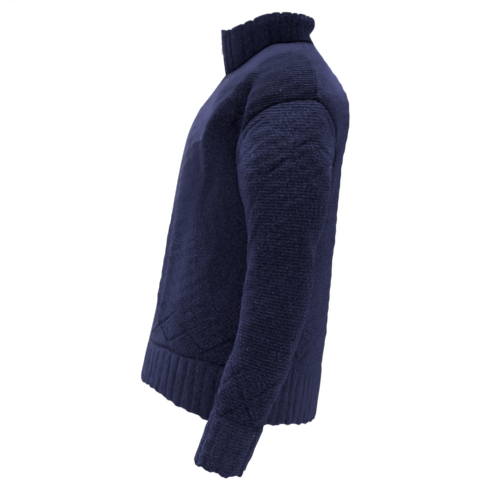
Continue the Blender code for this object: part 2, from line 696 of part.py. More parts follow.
def zip_line(x):
    """The skin's points and outward directions beside the zip, x from the middle line, hem to collar top."""
    lower = np.concatenate([[TAPE_LOW, 0.5 * HEM_TOP, HEM_TOP, 0.13], body_heights(False)])
    upper = np.array(COLLAR_LEVELS)
    side = 1.0 if x >= 0 else -1.0
    turn_low = side * turn_at(abs(x), column(BODY, "sideX", lower), column(BODY, "frontSquare", lower))
    turn_up = side * turn_at(abs(x), column(COLLAR, "sideX", upper), 2.0)
    skin = np.concatenate([body(turn_low, lower), collar(turn_up, upper)[1:]])
    out_low = body_out(turn_low, lower)
    out_up = collar_out(turn_up, upper)
    neck = mitre(out_low[-1:], out_up[:1], 1.0)
    out = np.concatenate([out_low[:-1], neck, out_up[1:]])
    for rows in (skin, out):
        rows[-1] += (rows[-2] - rows[-1]) * TAPE_SHORT
    return skin, out


def strip(name, lines, depth_low, depth_high, finish):
    """A band along the zip: a flat section between two lines, carried along them."""
    (skin_a, out_a), (skin_b, out_b) = lines
    rails = [skin_a - out_a * depth_low, skin_b - out_b * depth_low]
    rails += [skin_b - out_b * depth_high, skin_a - out_a * depth_high]
    count = len(skin_a)
    grid = np.stack(rails, axis=1).reshape(-1, 3)
    faces = []
    for i in range(count - 1):
        for k in range(4):
            a = i * 4 + k
            b = i * 4 + (k + 1) % 4
            faces.append((a, b, b + 4, a + 4))
    faces.append((3, 2, 1, 0))
    last = (count - 1) * 4
    faces.append((last, last + 1, last + 2, last + 3))
    if skin_b[0, 0] < skin_a[0, 0]:
        faces = [f[::-1] for f in faces]
    return make_object(name, grid, faces, finish)


def station_at(skin, out, height):
    """A zip line's point and outward direction at a height."""
    point = [np.interp(height, skin[:, 2], skin[:, axis]) for axis in range(3)]
    way = [np.interp(height, skin[:, 2], out[:, axis]) for axis in range(3)]
    return np.array(point), unit(np.array(way))


def cut_line(line, low, high):
    """The stretch of a zip line between two heights."""
    skin, out = line
    ends = [station_at(skin, out, height) for height in (low, high)]
    keep = (skin[:, 2] > low + 0.002) & (skin[:, 2] < high - 0.002)
    points = np.vstack([ends[0][0], skin[keep], ends[1][0]])
    ways = np.vstack([ends[0][1], out[keep], ends[1][1]])
    return points, ways


def zip_pieces():
    """Tapes, closed chain, parted chain, bottom box, slider and pull."""
    tape_front = WALL + TAPE_BACK
    tape_back = tape_front + TAPE_WALL
    chain_front = 0.5 * (tape_front + tape_back - CHAIN_DEPTH)
    chain_back = chain_front + CHAIN_DEPTH
    tape_edge = CHAIN_HALF + SEAM_GAP
    left, middle, right = zip_line(CHAIN_HALF), zip_line(0.0), zip_line(-CHAIN_HALF)
    for side, sign in (("left", 1.0), ("right", -1.0)):
        lines = zip_line(sign * tape_edge), zip_line(sign * (tape_edge + TAPE_WIDTH))
        strip("zip_tape_" + side, lines, tape_front, tape_back, TAPE)

    foot = SLIDER_HEIGHT - 0.5 * SLIDER_SIZE[2] - SEAM_GAP
    head = SLIDER_HEIGHT + 0.5 * SLIDER_SIZE[2] + SEAM_GAP
    start = middle[0][0, 2] + 0.0005
    box_top = start + BOX_LENGTH
    top = middle[0][-1, 2] - 0.001
    closed = [cut_line(line, box_top + SEAM_GAP, foot) for line in (right, left)]
    strip("zip_chain", closed, chain_front, chain_back, STEEL)
    box = [cut_line(line, start, box_top) for line in (right, left)]
    strip("zip_bottom_box", box, chain_front - 0.001, chain_back, STEEL)
    for side, line, sign in (("left", left, 1.0), ("right", right, -1.0)):
        parted = cut_line(zip_line(sign * 0.5 * SEAM_GAP), head, top), cut_line(line, head, top)
        strip("zip_chain_" + side, parted, chain_front, chain_back, STEEL)
    slider_and_pull(*middle, chain_front)


def slider_and_pull(skin, out, chain_front):
    """The slider's plate with the bridge on it, and the pull with its eye round the bridge."""
    at, away = station_at(skin, out, SLIDER_HEIGHT)
    away = unit(away * np.array([0.0, 1.0, 1.0]))
    across = np.array([1.0, 0.0, 0.0])
    up = np.cross(across, away)
    up = up if up[2] > 0 else -up
    width, thick, length = SLIDER_SIZE
    plate_low = -chain_front + SEAM_GAP  # the slider's front plate lies on the teeth
    plate_high = plate_low + thick

    def at_point(x, height, depth):
        return at + across * x + up * height + away * depth

    plate = slider_plate(at_point, width, length, plate_low, plate_high)
    bridge = slider_bridge(at_point, plate_high)
    joined(plate, bridge)
    pull_piece(at_point(0.0, 0.0, plate_high + 0.5 * (BRIDGE_RISE - BRIDGE_WALL)))


def slider_plate(at_point, width, length, low, high):
    """The slider's front plate, wider at its top."""
    points = []
    for depth, shrink in ((low, 0.0), (high - 0.0006, 0.0), (high, 0.0007)):
        for x, h in ((-1, -1), (1, -1), (1, 1), (-1, 1)):
            half = 0.5 * width * (1.0 if h > 0 else 0.82) - shrink
            points.append(at_point(x * half, h * (0.5 * length - shrink), depth))
    faces = [(0, 3, 2, 1), (8, 9, 10, 11)]
    for level in (0, 4):
        for k in range(4):
            n = (k + 1) % 4
            faces.append((level + k, level + n, level + 4 + n, level + 4 + k))
    return make_object("zip_slider", points, faces, STEEL)


def slider_bridge(at_point, plate_high):
    """The small bridge on the slider, a bent strap with a window under it."""
    low = plate_high - 0.0008
    high = plate_high + BRIDGE_RISE
    inside = high - BRIDGE_WALL
    out_leg = 0.5 * BRIDGE_LENGTH
    in_leg = out_leg - BRIDGE_WALL
    outer = ((-out_leg, low), (-out_leg, high - 0.0009), (-out_leg + 0.0009, high))
    outer = outer + tuple((-height, depth) for height, depth in outer[::-1])
    inner = ((-in_leg, low), (-in_leg, inside), (in_leg, inside), (in_leg, low))
    half = 0.5 * BRIDGE_WIDTH
    points = [at_point(x, height, depth) for x in (-half, half) for height, depth in outer + inner]
    count = len(outer) + len(inner)
    ring = list(range(6)) + [9, 8, 7, 6]
    side = [(0, 1, 7, 6), (1, 2, 7), (2, 3, 8, 7), (3, 4, 8), (4, 5, 9, 8)]
    faces = list(side) + [tuple(count + k for k in f[::-1]) for f in side]
    for a, b in zip(ring, ring[1:] + ring[:1]):
        faces.append((b, a, a + count, b + count))
    return make_object("bridge", points, faces, STEEL)


def joined(base, other):
    """Unites the other solid with the base."""
    cut = base.modifiers.new("strap", "BOOLEAN")
    cut.operation = "UNION"
    cut.object = other
    other.hide_render = True
    other.display_type = "WIRE"


def pull_piece(pivot):
    """The pull tab, hanging straight down: a flat tab with an eye that goes round the slider's bridge."""
    bar = 0.5 * PULL_BAR
    eye_half = 0.5 * BRIDGE_WIDTH + 0.0006
    half = 0.5 * PULL_WIDTH
    neck = eye_half + PULL_BAR
    low = -PULL_LENGTH
    right = (
        (neck, bar),
        (neck, -PULL_EYE - PULL_BAR),
        (half, -PULL_EYE - 0.0035),
        (half, low + 0.002),
        (half - 0.0015, low),
    )
    rims = right + tuple((-x, height) for x, height in right[::-1])
    eye = ((eye_half, -bar), (eye_half, -PULL_EYE), (-eye_half, -PULL_EYE), (-eye_half, -bar))
    points = [pivot + np.array([x, -side, height]) for side in (bar, -bar) for x, height in rims + eye]
    count = len(rims) + len(eye)
    round_eye = [(0, 9, 13, 10), (0, 10, 11, 1), (9, 8, 12, 13), (1, 11, 12, 8)]
    front = round_eye + [(1, 8, 7, 2), (2, 7, 6, 3), (3, 6, 5, 4)]
    faces = front + [tuple(count + k for k in f[::-1]) for f in front]
    for loop in (list(range(10)), [10, 13, 12, 11]):
        for a, b in zip(loop, loop[1:] + loop[:1]):
            faces.append((a, b, b + count, a + count))
    return make_object("zip_pull", points, faces, STEEL)


def clear_scene():
    for item in list(bpy.data.objects):
        bpy.data.objects.remove(item, do_unlink=True)


def main():
    clear_scene()
    body_panel("front_left", "front")
    body_panel("front_right", "front", mirror=True)
    body_panel("back", "back")
    sleeve_piece("sleeve_left")
    sleeve_piece("sleeve_right", mirror=True)
    collar_piece()
    zip_pieces()


main()
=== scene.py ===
# A zip-up cardigan in chunky navy wool, filled out, in a plain white studio.
# Metres, +Z up. The zip faces -Y, and the left sleeve is on +X. The origin is the middle of the neck.
import math

import bpy
import numpy as np
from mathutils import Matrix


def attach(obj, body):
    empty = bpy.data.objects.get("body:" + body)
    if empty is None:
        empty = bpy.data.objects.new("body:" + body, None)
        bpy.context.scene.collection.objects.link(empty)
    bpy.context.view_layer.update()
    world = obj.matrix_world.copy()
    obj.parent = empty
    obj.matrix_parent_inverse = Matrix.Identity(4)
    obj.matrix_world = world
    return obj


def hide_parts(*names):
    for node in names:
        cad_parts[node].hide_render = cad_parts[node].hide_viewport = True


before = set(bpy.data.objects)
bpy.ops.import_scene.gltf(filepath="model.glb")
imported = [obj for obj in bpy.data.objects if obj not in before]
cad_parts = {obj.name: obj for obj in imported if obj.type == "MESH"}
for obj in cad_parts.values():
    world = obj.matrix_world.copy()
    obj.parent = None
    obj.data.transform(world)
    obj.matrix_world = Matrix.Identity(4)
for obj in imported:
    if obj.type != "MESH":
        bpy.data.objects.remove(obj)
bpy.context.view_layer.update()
print("frame loaded")


# the forms that the panels lie on, the same as the CAD's
bodyForm = {
    "columns": "up frontY frontZ sideX sideY sideZ backY backZ frontSquare backSquare".split(),
    "rows": (
        (0.000, -0.2400, -0.596, 0.220, -0.080, -0.644, 0.078, -0.659, 2.05, 2.5),
        (0.080, -0.2270, -0.535, 0.223, -0.066, -0.562, 0.088, -0.580, 2.1, 2.5),
        (0.160, -0.2120, -0.468, 0.218, -0.050, -0.482, 0.099, -0.496, 2.15, 2.5),
        (0.235, -0.2000, -0.400, 0.209, -0.030, -0.406, 0.104, -0.412, 2.2, 2.5),
        (0.310, -0.1875, -0.322, 0.199, -0.004, -0.326, 0.111, -0.325, 2.3, 2.6),
        (0.380, -0.1765, -0.257, 0.212, 0.012, -0.256, 0.117, -0.245, 2.3, 2.7),
        (0.450, -0.1655, -0.200, 0.231, 0.026, -0.188, 0.127, -0.166, 2.3, 2.8),
        (0.515, -0.1520, -0.148, 0.243, 0.036, -0.124, 0.131, -0.112, 2.2, 2.8),
        (0.570, -0.1345, -0.111, 0.219, 0.040, -0.077, 0.121, -0.078, 2.1, 2.5),
        (0.635, -0.1110, -0.079, 0.160, 0.036, -0.034, 0.104, -0.037, 2.0, 2.2),
        (0.730, -0.0840, -0.0415, 0.075, 0.0105, 0.003, 0.0785, 0.012, 2.0, 2.0),
    ),
    "shoulderUp": 0.515,
    "neckUp": 0.730,
    "edgeHalf": 0.0060,  # the knitted edges lie this far from the middle line
    "girth": 0.0033,  # metres of cloth to a degree of turn
    # the folds die out near the hem (from, over), the neck and the zip
    "calmHem": (0.02, 0.12),
    "calmNeck": 0.06,
    "calmZip": 12.0,
    # turnA, upA, turnB, upB, width, rise: soft ridges and troughs, the same on both sides
    "folds": (
        (40.0, 0.665, 52.0, 0.430, 0.030, 0.009),
        (50.0, 0.600, 68.0, 0.400, 0.022, -0.012),
        (24.0, 0.420, 20.0, 0.130, 0.020, 0.003),
        (38.0, 0.360, 32.0, 0.120, 0.022, -0.003),
        (150.0, 0.560, 158.0, 0.200, 0.030, 0.005),
        (136.0, 0.420, 128.0, 0.240, 0.026, -0.006),
    ),
}
seamForm = {
    "columns": ("up", "turn"),
    "rows": ((0.000, 92.0), (0.310, 94.0), (0.515, 99.0), (0.570, 103.0), (0.635, 108.0), (0.730, 127.0)),
}
armhole = {
    "low": 0.310,
    "front": 34.0,  # turn from the seam line to its foremost edge
    "back": 44.0,
    "frontSquare": 3.0,
    "backSquare": 1.3,
    "footSquare": 0.9,  # how much squarer the rear edge is at the foot
    "taper": 0.33,
    "widest": 0.45,
}
collarForm = {
    "columns": "rise frontY frontZ sideX sideY sideZ backY backZ".split(),
    "rows": (
        (0.00, -0.0840, -0.0415, 0.0750, 0.0105, 0.0030, 0.0785, 0.0120),
        (0.30, -0.0880, -0.0180, 0.0775, 0.0095, 0.0190, 0.0725, 0.0225),
        (0.55, -0.0905, 0.0015, 0.0790, 0.0090, 0.0330, 0.0690, 0.0335),
        (0.80, -0.0920, 0.0195, 0.0795, 0.0095, 0.0465, 0.0780, 0.0470),
        (1.00, -0.0930, 0.0340, 0.0780, 0.0110, 0.0580, 0.0780, 0.0590),
    ),
    "cornerRise": 0.0080,  # the edge beside the zip stands a little taller than the ribs
    "cornerWidth": 0.0200,
}
sleeveForm = {
    "columns": "along outerX outerZ innerX innerZ middleY halfDepth lean".split(),
    "rows": (
        (0.00, 0.2430, -0.1240, 0.1990, -0.3260, 0.0200, 0.0860, 0.0),
        (0.06, 0.2640, -0.1540, 0.2120, -0.3290, 0.0180, 0.0780, 0.0),
        (0.14, 0.2870, -0.2000, 0.2230, -0.3430, 0.0150, 0.0700, 2.0),
        (0.24, 0.3050, -0.2620, 0.2310, -0.3680, 0.0138, 0.0625, 2.0),
        (0.34, 0.3160, -0.3250, 0.2350, -0.4040, 0.0106, 0.0540, 4.0),
        (0.46, 0.3240, -0.3950, 0.2390, -0.4460, 0.0023, 0.0530, 8.0),
        (0.58, 0.3300, -0.4600, 0.2430, -0.4880, -0.0086, 0.0500, 12.0),
        (0.69, 0.3340, -0.5180, 0.2470, -0.5320, -0.0246, 0.0465, 17.0),
        (0.79, 0.3350, -0.5720, 0.2500, -0.5780, -0.0438, 0.0445, 20.0),
        (0.88, 0.3350, -0.6260, 0.2520, -0.6260, -0.0625, 0.0415, 19.0),
        (1.00, 0.3340, -0.7000, 0.2530, -0.6880, -0.0900, 0.0390, 13.0),
    ),
    "blend": 0.16,  # the armhole's own shape fades out over this share of the sleeve
    "foldStart": 0.15,
    "foldEnd": (0.95, 0.10),
    "foldReach": 75.0,
    # round, along, slope, width, rise
    "folds": (
        (150.0, 0.40, 0.10, 0.050, 0.005),
        (200.0, 0.47, -0.12, 0.045, -0.005),
        (120.0, 0.56, 0.10, 0.045, 0.004),
        (60.0, 0.50, 0.08, 0.050, -0.003),
        (-40.0, 0.66, -0.10, 0.045, 0.004),
        (170.0, 0.74, 0.08, 0.040, -0.004),
        (250.0, 0.30, 0.12, 0.055, -0.005),
    ),
}


def tableOf(form):
    # a form's rows as an array for each column
    return dict(zip(form["columns"], np.array(form["rows"], dtype=float).T))


bodyTable = tableOf(bodyForm)
seamTable = tableOf(seamForm)
collarTable = tableOf(collarForm)
sleeveTable = tableOf(sleeveForm)


def readTable(table, name, x):
    # a smooth curve through one column, with slopes taken from the neighbours
    knots = table[next(iter(table))]
    values = table[name]
    x = np.clip(x, knots[0], knots[-1])
    slopes = np.gradient(values, knots)
    i = np.clip(np.searchsorted(knots, x, side="right") - 1, 0, len(knots) - 2)
    step = knots[i + 1] - knots[i]
    t = (x - knots[i]) / step
    rest = 1.0 - t
    curve = values[i] * (1 + 2 * t) * rest**2 + values[i + 1] * (3 - 2 * t) * t**2
    return curve + step * t * rest * (slopes[i] * rest - slopes[i + 1] * t)


def rowAt(table, x):
    # every column of a table but the first, read at x
    return {name: readTable(table, name, x) for name in list(table)[1:]}


def pair(first, second):
    return np.broadcast_arrays(np.asarray(first, float), np.asarray(second, float))


def unit(v):
    # v / its length
    return v / np.maximum(np.linalg.norm(v, axis=-1, keepdims=True), 1e-12)


def softStep(x, low, high):
    # 0 below low, 1 above high, and a smooth S between them
    t = np.clip((x - low) / (high - low), 0.0, 1.0)
    return t * t * (3 - 2 * t)


def bell(distance, width):
    # exp(-(distance / width)^2)
    return np.exp(-((distance / width) ** 2))


def signedPower(v, power):
    # sign(v) * |v|^power
    return np.sign(v) * np.abs(v) ** power


def between(at, knots, rows):
    # a curve's points at values of its knots, by straight lines
    return np.stack([np.interp(at, knots, column) for column in rows.T], axis=-1)


def arcLengths(points, axis=0):
    # metres from the grid's first line, along one of its axes
    steps = np.linalg.norm(np.diff(points, axis=axis), axis=-1)
    start = np.zeros_like(np.take(steps, [0], axis=axis))
    return np.concatenate([start, np.cumsum(steps, axis=axis)], axis=axis)


def ringPoint(turn, r, squareFront, squareBack):
    # x = side * |sin|^(2/square), y from side to end by |cos|^(2/square), z by a smooth step of |cos|
    c = np.cos(np.radians(turn))
    ahead = c >= 0
    power = 2 / np.where(ahead, squareFront, squareBack)
    level = c * c * (3 - 2 * np.abs(c))
    x = r["sideX"] * signedPower(np.sin(np.radians(turn)), power)
    y = r["sideY"] + (np.where(ahead, r["frontY"], r["backY"]) - r["sideY"]) * np.abs(c) ** power
    z = r["sideZ"] + (np.where(ahead, r["frontZ"], r["backZ"]) - r["sideZ"]) * level
    return np.stack([x, y, z], axis=-1)


def bodyRing(turn, up):
    # the body without its folds
    turn, up = pair(turn, up)
    r = rowAt(bodyTable, up)
    return ringPoint(turn, r, r["frontSquare"], r["backSquare"])


def facing(surface, u, v, du, dv):
    # unit normals: the surface's u tangent x its v tangent
    return unit(np.cross(surface(u + du, v) - surface(u - du, v), surface(u, v + dv) - surface(u, v - dv)))


def foldLift(folds, side, up, ends=0.12):
    # each fold: rise * exp(-(distance from its line / width)^2), dying out at the line's ends by a sine
    lift = np.zeros(np.broadcast(side, up).shape)
    girth = bodyForm["girth"]
    for turnA, upA, turnB, upB, width, rise in folds:
        run = np.array([(turnB - turnA) * girth, upB - upA])
        px = (side - turnA) * girth
        py = up - upA
        share = np.clip((px * run[0] + py * run[1]) / (run @ run), 0.0, 1.0)
        away = np.hypot(px - share * run[0], py - share * run[1])
        lift = lift + rise * np.sin(np.pi * (ends + (1 - 2 * ends) * share)) * bell(away, width)
    return lift


def sideTurn(turn):
    # the same turn counted from the front middle on either side, 0 to 180
    turn = np.asarray(turn, float)
    return np.abs(np.where(turn > 180.0, turn - 360.0, turn))


def body(turn, up):
    # the ring, moved along its normals by the folds, which are calm near the hem, neck and zip
    turn, up = pair(turn, up)
    side = sideTurn(turn)
    start, over = bodyForm["calmHem"]
    calm = np.clip((up - start) / over, 0, 1)
    calm = calm * np.clip((bodyForm["neckUp"] - up) / bodyForm["calmNeck"], 0, 1)
    calm = calm * np.clip(side / bodyForm["calmZip"], 0, 1)
    lift = foldLift(bodyForm["folds"], side, up) * calm
    return bodyRing(turn, up) + facing(bodyRing, turn, up, 0.5, 0.002) * lift[..., None]


def bodyOut(turn, up):
    # the body's outward unit normals
    return facing(body, turn, up, 0.4, 0.0015)


def seamTurn(up):
    # the turn of the side and shoulder seams at a height
    return readTable(seamTable, "turn", up)


armholeMiddle = 0.5 * (armhole["low"] + bodyForm["shoulderUp"])
armholeHalf = 0.5 * (bodyForm["shoulderUp"] - armhole["low"])


def armholeReach(up):
    # half widths of the armhole in turn, each a superellipse of the height
    place = np.clip((up - armholeMiddle) / armholeHalf, -1.0, 1.0)
    q = np.abs(place)
    taper = 1 - armhole["taper"] * np.maximum(armhole["widest"] - place, 0.0)
    front = armhole["front"] * taper * (1 - q ** armhole["frontSquare"]) ** (1 / armhole["frontSquare"])
    square = armhole["backSquare"] + armhole["footSquare"] * np.clip(-place, 0.0, 1.0)
    return front, armhole["back"] * (1 - q**square) ** (1 / square)


def armholeAt(around):
    # the armhole's point for an angle round the sleeve: 0 at the top, 90 in front, 180 at its foot
    around = np.asarray(around, float) % 360.0
    up = armholeMiddle + armholeHalf * np.cos(np.radians(around))
    front, back = armholeReach(up)
    turn = seamTurn(up) + np.where(around <= 180.0, -front, back)
    return body(turn, up), turn, up


def sleeveRing(around, along):
    # a leaning ellipse: middle + half the line from inner to outer * cos + ahead * half depth * sin
    around, along = pair(around, along)
    r = rowAt(sleeveTable, along)
    outer = np.stack([r["outerX"], r["middleY"], r["outerZ"]], axis=-1)
    inner = np.stack([r["innerX"], r["middleY"], r["innerZ"]], axis=-1)
    lean = np.radians(r["lean"])
    ahead = np.stack([np.zeros_like(lean), -np.cos(lean), np.sin(lean)], axis=-1)
    a = np.radians(around)
    ring = 0.5 * (outer + inner) + 0.5 * (outer - inner) * np.cos(a)[..., None]
    return ring + ahead * (r["halfDepth"] * np.sin(a))[..., None]


def sleeveFolds(folds, around, along, reach):
    # each fold: rise * exp(-(distance from a slanting line / width)^2 - (angle from its middle / reach)^2)
    lift = np.zeros(np.broadcast(around, along).shape)
    for centre, height, slope, width, rise in folds:
        apart = (around - centre + 180.0) % 360.0 - 180.0
        line = along - height - slope * apart / 90.0
        lift = lift + rise * np.exp(-((line / width) ** 2) - (apart / reach) ** 2)
    return lift


def sleeve(around, along):
    # a tube of leaning rings that starts as the armhole's loop
    around, along = pair(around, along)
    ring = sleeveRing(around, along)
    end, over = sleeveForm["foldEnd"]
    folds = sleeveFolds(sleeveForm["folds"], around, along, sleeveForm["foldReach"])
    folds = folds * np.clip(along / sleeveForm["foldStart"], 0.0, 1.0)
    folds = folds * np.clip((end - along) / over, 0.0, 1.0)
    tube = ring + facing(sleeveRing, around, along, 1.0, 0.01) * folds[..., None]
    fade = softStep(1 - along / sleeveForm["blend"], 0.0, 1.0)
    return tube + (armholeAt(around)[0] - sleeveRing(around, 0.0)) * fade[..., None]


def sleeveHeight(points, along):
    # height of a knitted row: minus the middle line's length, plus the offset from it square to the rows
    steps = np.linspace(0.0, 1.0, 401)
    r = rowAt(sleeveTable, steps)
    middle = [0.5 * (r["outerX"] + r["innerX"]), r["middleY"], 0.5 * (r["outerZ"] + r["innerZ"])]
    middle = np.stack(middle, axis=-1)
    lean = np.radians(np.interp(along, steps, r["lean"]))
    above = np.stack([np.zeros_like(lean), np.sin(lean), np.cos(lean)], axis=-1)
    gone = np.interp(along, steps, arcLengths(middle[:, 1:]))
    return ((points - between(along, steps, middle)) * above).sum(axis=-1) - gone


def sleeveOut(around, along):
    # the sleeve's outward unit normals
    return facing(sleeve, around, np.clip(along, 0.004, 0.996), 0.8, 0.004)


def collar(turn, rise):
    # the ring, raised beside the zip by cornerRise * exp(-(distance / cornerWidth)^2) * rise^2
    turn, rise = pair(turn, rise)
    skin = ringPoint(turn, rowAt(collarTable, rise), 2.0, 2.0)
    corner = bell(np.abs(skin[..., 0]) - bodyForm["edgeHalf"], collarForm["cornerWidth"])
    corner = corner * (np.cos(np.radians(turn)) > 0)
    skin[..., 2] += collarForm["cornerRise"] * corner * np.clip(rise, 0.0, 1.0) ** 2
    return skin


def collarOut(turn, rise):
    # the collar's outward unit normals
    return facing(collar, turn, np.clip(rise, 0.01, 0.99), 0.5, 0.01)


def turnAt(x, sideX, square):
    # the turn at which a ring lies x from the middle line
    return np.degrees(np.arcsin((x / sideX) ** (square / 2)))


def bodyTurn(x, up):
    return turnAt(x, readTable(bodyTable, "sideX", up), readTable(bodyTable, "frontSquare", up))


def collarTurn(x, rise):
    return turnAt(x, readTable(collarTable, "sideX", rise), 2.0)


print("forms ready")


# meshes from grids
cloth = {
    "wall": 0.0032,  # thickness of the chunky knit
    "coarse": 4,  # the plain inside has every fourth point of the outside
    "edgeSteps": (0.0, 0.0006, 0.0014, 0.0024),  # grid lines close to an edge, for its roll
    "edgeStart": 0.0044,
    # depth and width of the roll of a free edge, of an edge at the zip and of a seam
    "freeRoll": (0.0016, 0.003),
    "zipRoll": (0.0016, 0.0026),
    "seamRoll": (0.0012, 0.003),
    "reliefUnit": 0.002,  # metres of relief that the wool takes as 1
    "seamFade": 0.002,  # the relief starts this far from a seam
}
mirrorX = np.array([-1.0, 1.0, 1.0])


def gridNormals(points, wraps):
    # column tangent x row tangent, from the neighbours on the grid
    if wraps:
        ahead = np.roll(points, -1, axis=1) - np.roll(points, 1, axis=1)
    else:
        ahead = np.gradient(points, axis=1)
    return unit(np.cross(ahead, np.gradient(points, axis=0)))


def edgedSteps(length, count, start=True, end=True):
    # shares of a length: even steps, with finer ones at the ends that are edges
    fine = np.array(cloth["edgeSteps"]) / length
    first = cloth["edgeStart"] / length
    low = fine if start else np.array([])
    high = 1.0 - fine[::-1] if end else np.array([])
    middle = np.linspace(first if start else 0.0, 1.0 - first if end else 1.0, count)
    return np.concatenate([low, middle, high])


def makeMesh(name, points, quads, triangles=()):
    # an object in the scene from points and the faces between them
    mesh = bpy.data.meshes.new(name)
    quads = np.asarray(quads, dtype=np.int32).reshape(-1, 4)
    triangles = np.asarray(triangles, dtype=np.int32).reshape(-1, 3)
    corners = np.concatenate([quads.ravel(), triangles.ravel()])
    sizes = np.concatenate([np.full(len(quads), 4), np.full(len(triangles), 3)]).astype(np.int32)
    mesh.vertices.add(len(points))
    mesh.vertices.foreach_set("co", np.asarray(points, dtype=np.float32).ravel())
    mesh.loops.add(len(corners))
    mesh.loops.foreach_set("vertex_index", corners)
    mesh.polygons.add(len(sizes))
    mesh.polygons.foreach_set("loop_start", np.concatenate([[0], np.cumsum(sizes)[:-1]]).astype(np.int32))
    mesh.polygons.foreach_set("loop_total", sizes)
    mesh.update(calc_edges=True)
    mesh.validate()
    mesh.shade_smooth()
    made = bpy.data.objects.new(name, mesh)
    bpy.context.scene.collection.objects.link(made)
    return made


def cells(grid):
    # the four corners of each cell of a grid, in order round it
    four = np.stack([grid[:-1, :-1], grid[:-1, 1:], grid[1:, 1:], grid[1:, :-1]], axis=2)
    return four.reshape(-1, *four.shape[2:])


def rimTriangles(fine, coarse, flip):
    # a strip between an edge of the outside and the inside's edge, which has a quarter of its points
    k = cloth["coarse"]
    found = []
    for m in range(k):
        near = coarse[:-1] if m < k // 2 else coarse[1:]
        found.append(np.stack([fine[m:-1:k][: len(near)], fine[m + 1 :: k][: len(near)], near], axis=-1))
    found.append(np.stack([fine[k // 2 :: k][: len(coarse) - 1], coarse[1:], coarse[:-1]], axis=-1))
    found = np.concatenate(found)
    return found[:, ::-1] if flip else found


def knitShell(name, outer, inner, metres, marks, wraps=False):
    # outer: grid of points; inner: the same grid moved inwards, of which every fourth point is used
    k = cloth["coarse"]
    inside = inner[::k, ::k]
    outerIds = np.arange(outer[..., 0].size).reshape(outer.shape[:2])
    innerIds = outerIds.size + np.arange(inside[..., 0].size).reshape(inside.shape[:2])
    if wraps:
        outerIds, innerIds = (np.concatenate([ids, ids[:, :1]], axis=1) for ids in (outerIds, innerIds))
    quads = np.concatenate([cells(outerIds), cells(innerIds)[:, ::-1]])
    rims = [(outerIds[0], innerIds[0], True), (outerIds[-1], innerIds[-1], False)]
    if not wraps:
        rims += [(outerIds[:, 0], innerIds[:, 0], False), (outerIds[:, -1], innerIds[:, -1], True)]
    points = np.concatenate([outer.reshape(-1, 3), inside.reshape(-1, 3)])
    made = makeMesh(name, points, quads, np.concatenate([rimTriangles(*rim) for rim in rims]))
    # metres along and up the cloth as a UV map; a tube's last column has its own values
    known = np.concatenate([cells(metres), cells(metres[::k, ::k])[:, ::-1]]).reshape(-1, 2)
    uv = np.zeros((len(made.data.loops), 2), np.float32)
    uv[: len(known)] = known
    made.data.uv_layers.new(name="knit").data.foreach_set("uv", uv.ravel())
    for mark, values in marks.items():
        both = np.concatenate([values.ravel(), np.zeros(innerIds.size)])[: len(points)]
        made.data.attributes.new(mark, "FLOAT", "POINT").data.foreach_set("value", both.astype(np.float32))
    return made


def wallOf(skin, out, lift, sag):
    # the outside, lifted by the relief, and the inside, both let down by the sag
    outer = skin + out * lift[..., None]
    inner = skin - out * cloth["wall"]
    outer[..., 2] += sag
    inner[..., 2] += sag
    return outer, inner


def otherSide(order, outer, inner, metres, marks):
    # the same cloth mirrored, with its columns in the opposite order
    outer, inner = ((grid * mirrorX)[:, order] for grid in (outer, inner))
    return outer, inner, metres[:, ::-1], {mark: values[:, order] for mark, values in marks.items()}


def nearest(points, curve):
    # distance to the nearest of a curve's points, and which one it is
    flat = points.reshape(-1, 3)
    best = np.full(len(flat), 1e9)
    index = np.zeros(len(flat), int)
    for i, spot in enumerate(curve):
        away = ((flat - spot) ** 2).sum(axis=1)
        closer = away < best
        best = np.where(closer, away, best)
        index[closer] = i
    return np.sqrt(best).reshape(points.shape[:-1]), index.reshape(points.shape[:-1])


def roll(distance, depth, width):
    # an edge that rolls inwards: -depth * (1 - distance / width)^2
    return -depth * np.clip(1 - distance / width, 0.0, 1.0) ** 2


ripple = {"reach": 0.014, "rib": 0.0105, "quick": 0.0004, "slow": 0.0012, "lump": 0.0011}


def edgeRipple(across, fromEdge, much=1.0):
    # a knitted edge dips and rises by a millimetre or two, rib by rib and more slowly
    quick = ripple["quick"] * np.cos(2 * np.pi * across / ripple["rib"] + 2 * np.sin(90 * across))
    slow = ripple["slow"] * np.sin(61 * across + 1.3 * np.sin(23 * across))
    slow = slow + ripple["lump"] * np.sin(230 * across + 0.8)
    return much * (quick + slow) * bell(fromEdge, ripple["reach"])


def handmade(points):
    # sums of products of sines, about a millimetre in all, so that no panel is quite smooth
    x, y, z = points[..., 0], points[..., 1], points[..., 2]
    waves = np.sin(58 * x + 31 * z + 0.7) * np.sin(47 * y - 39 * z + 1.9)
    waves = waves + 0.7 * np.sin(93 * x - 64 * z + 2.3) * np.sin(77 * y + 55 * z)
    lumps = np.sin(170 * z + 90 * y + 1.1) * np.sin(210 * y - 120 * z + 60 * x)
    lumps = lumps + np.sin(330 * z - 140 * y + 2.0 * x)
    return knit["waveLift"] * waves + knit["lumpLift"] * lumps


knit = {
    "mossWide": 0.0096,  # two stitches and two rows of moss stitch
    "mossTall": 0.0072,
    "mossLift": 0.00036,
    "grooveDepth": 0.0024,
    "grooveWidth": 0.0028,
    "ridgeLift": 0.0007,
    "ridgeFrom": 0.0068,
    "ridgeWidth": 0.0034,
    "lineClear": 0.004,  # moss stitch keeps this far from a line
    "waveLift": 0.0008,
    "lumpLift": 0.0003,
}


def moss(across, up):
    # a checkerboard of soft bumps: cos * cos
    bumps = knit["mossLift"] * np.cos(2 * np.pi * across / knit["mossWide"])
    return bumps * np.cos(2 * np.pi * up / knit["mossTall"])


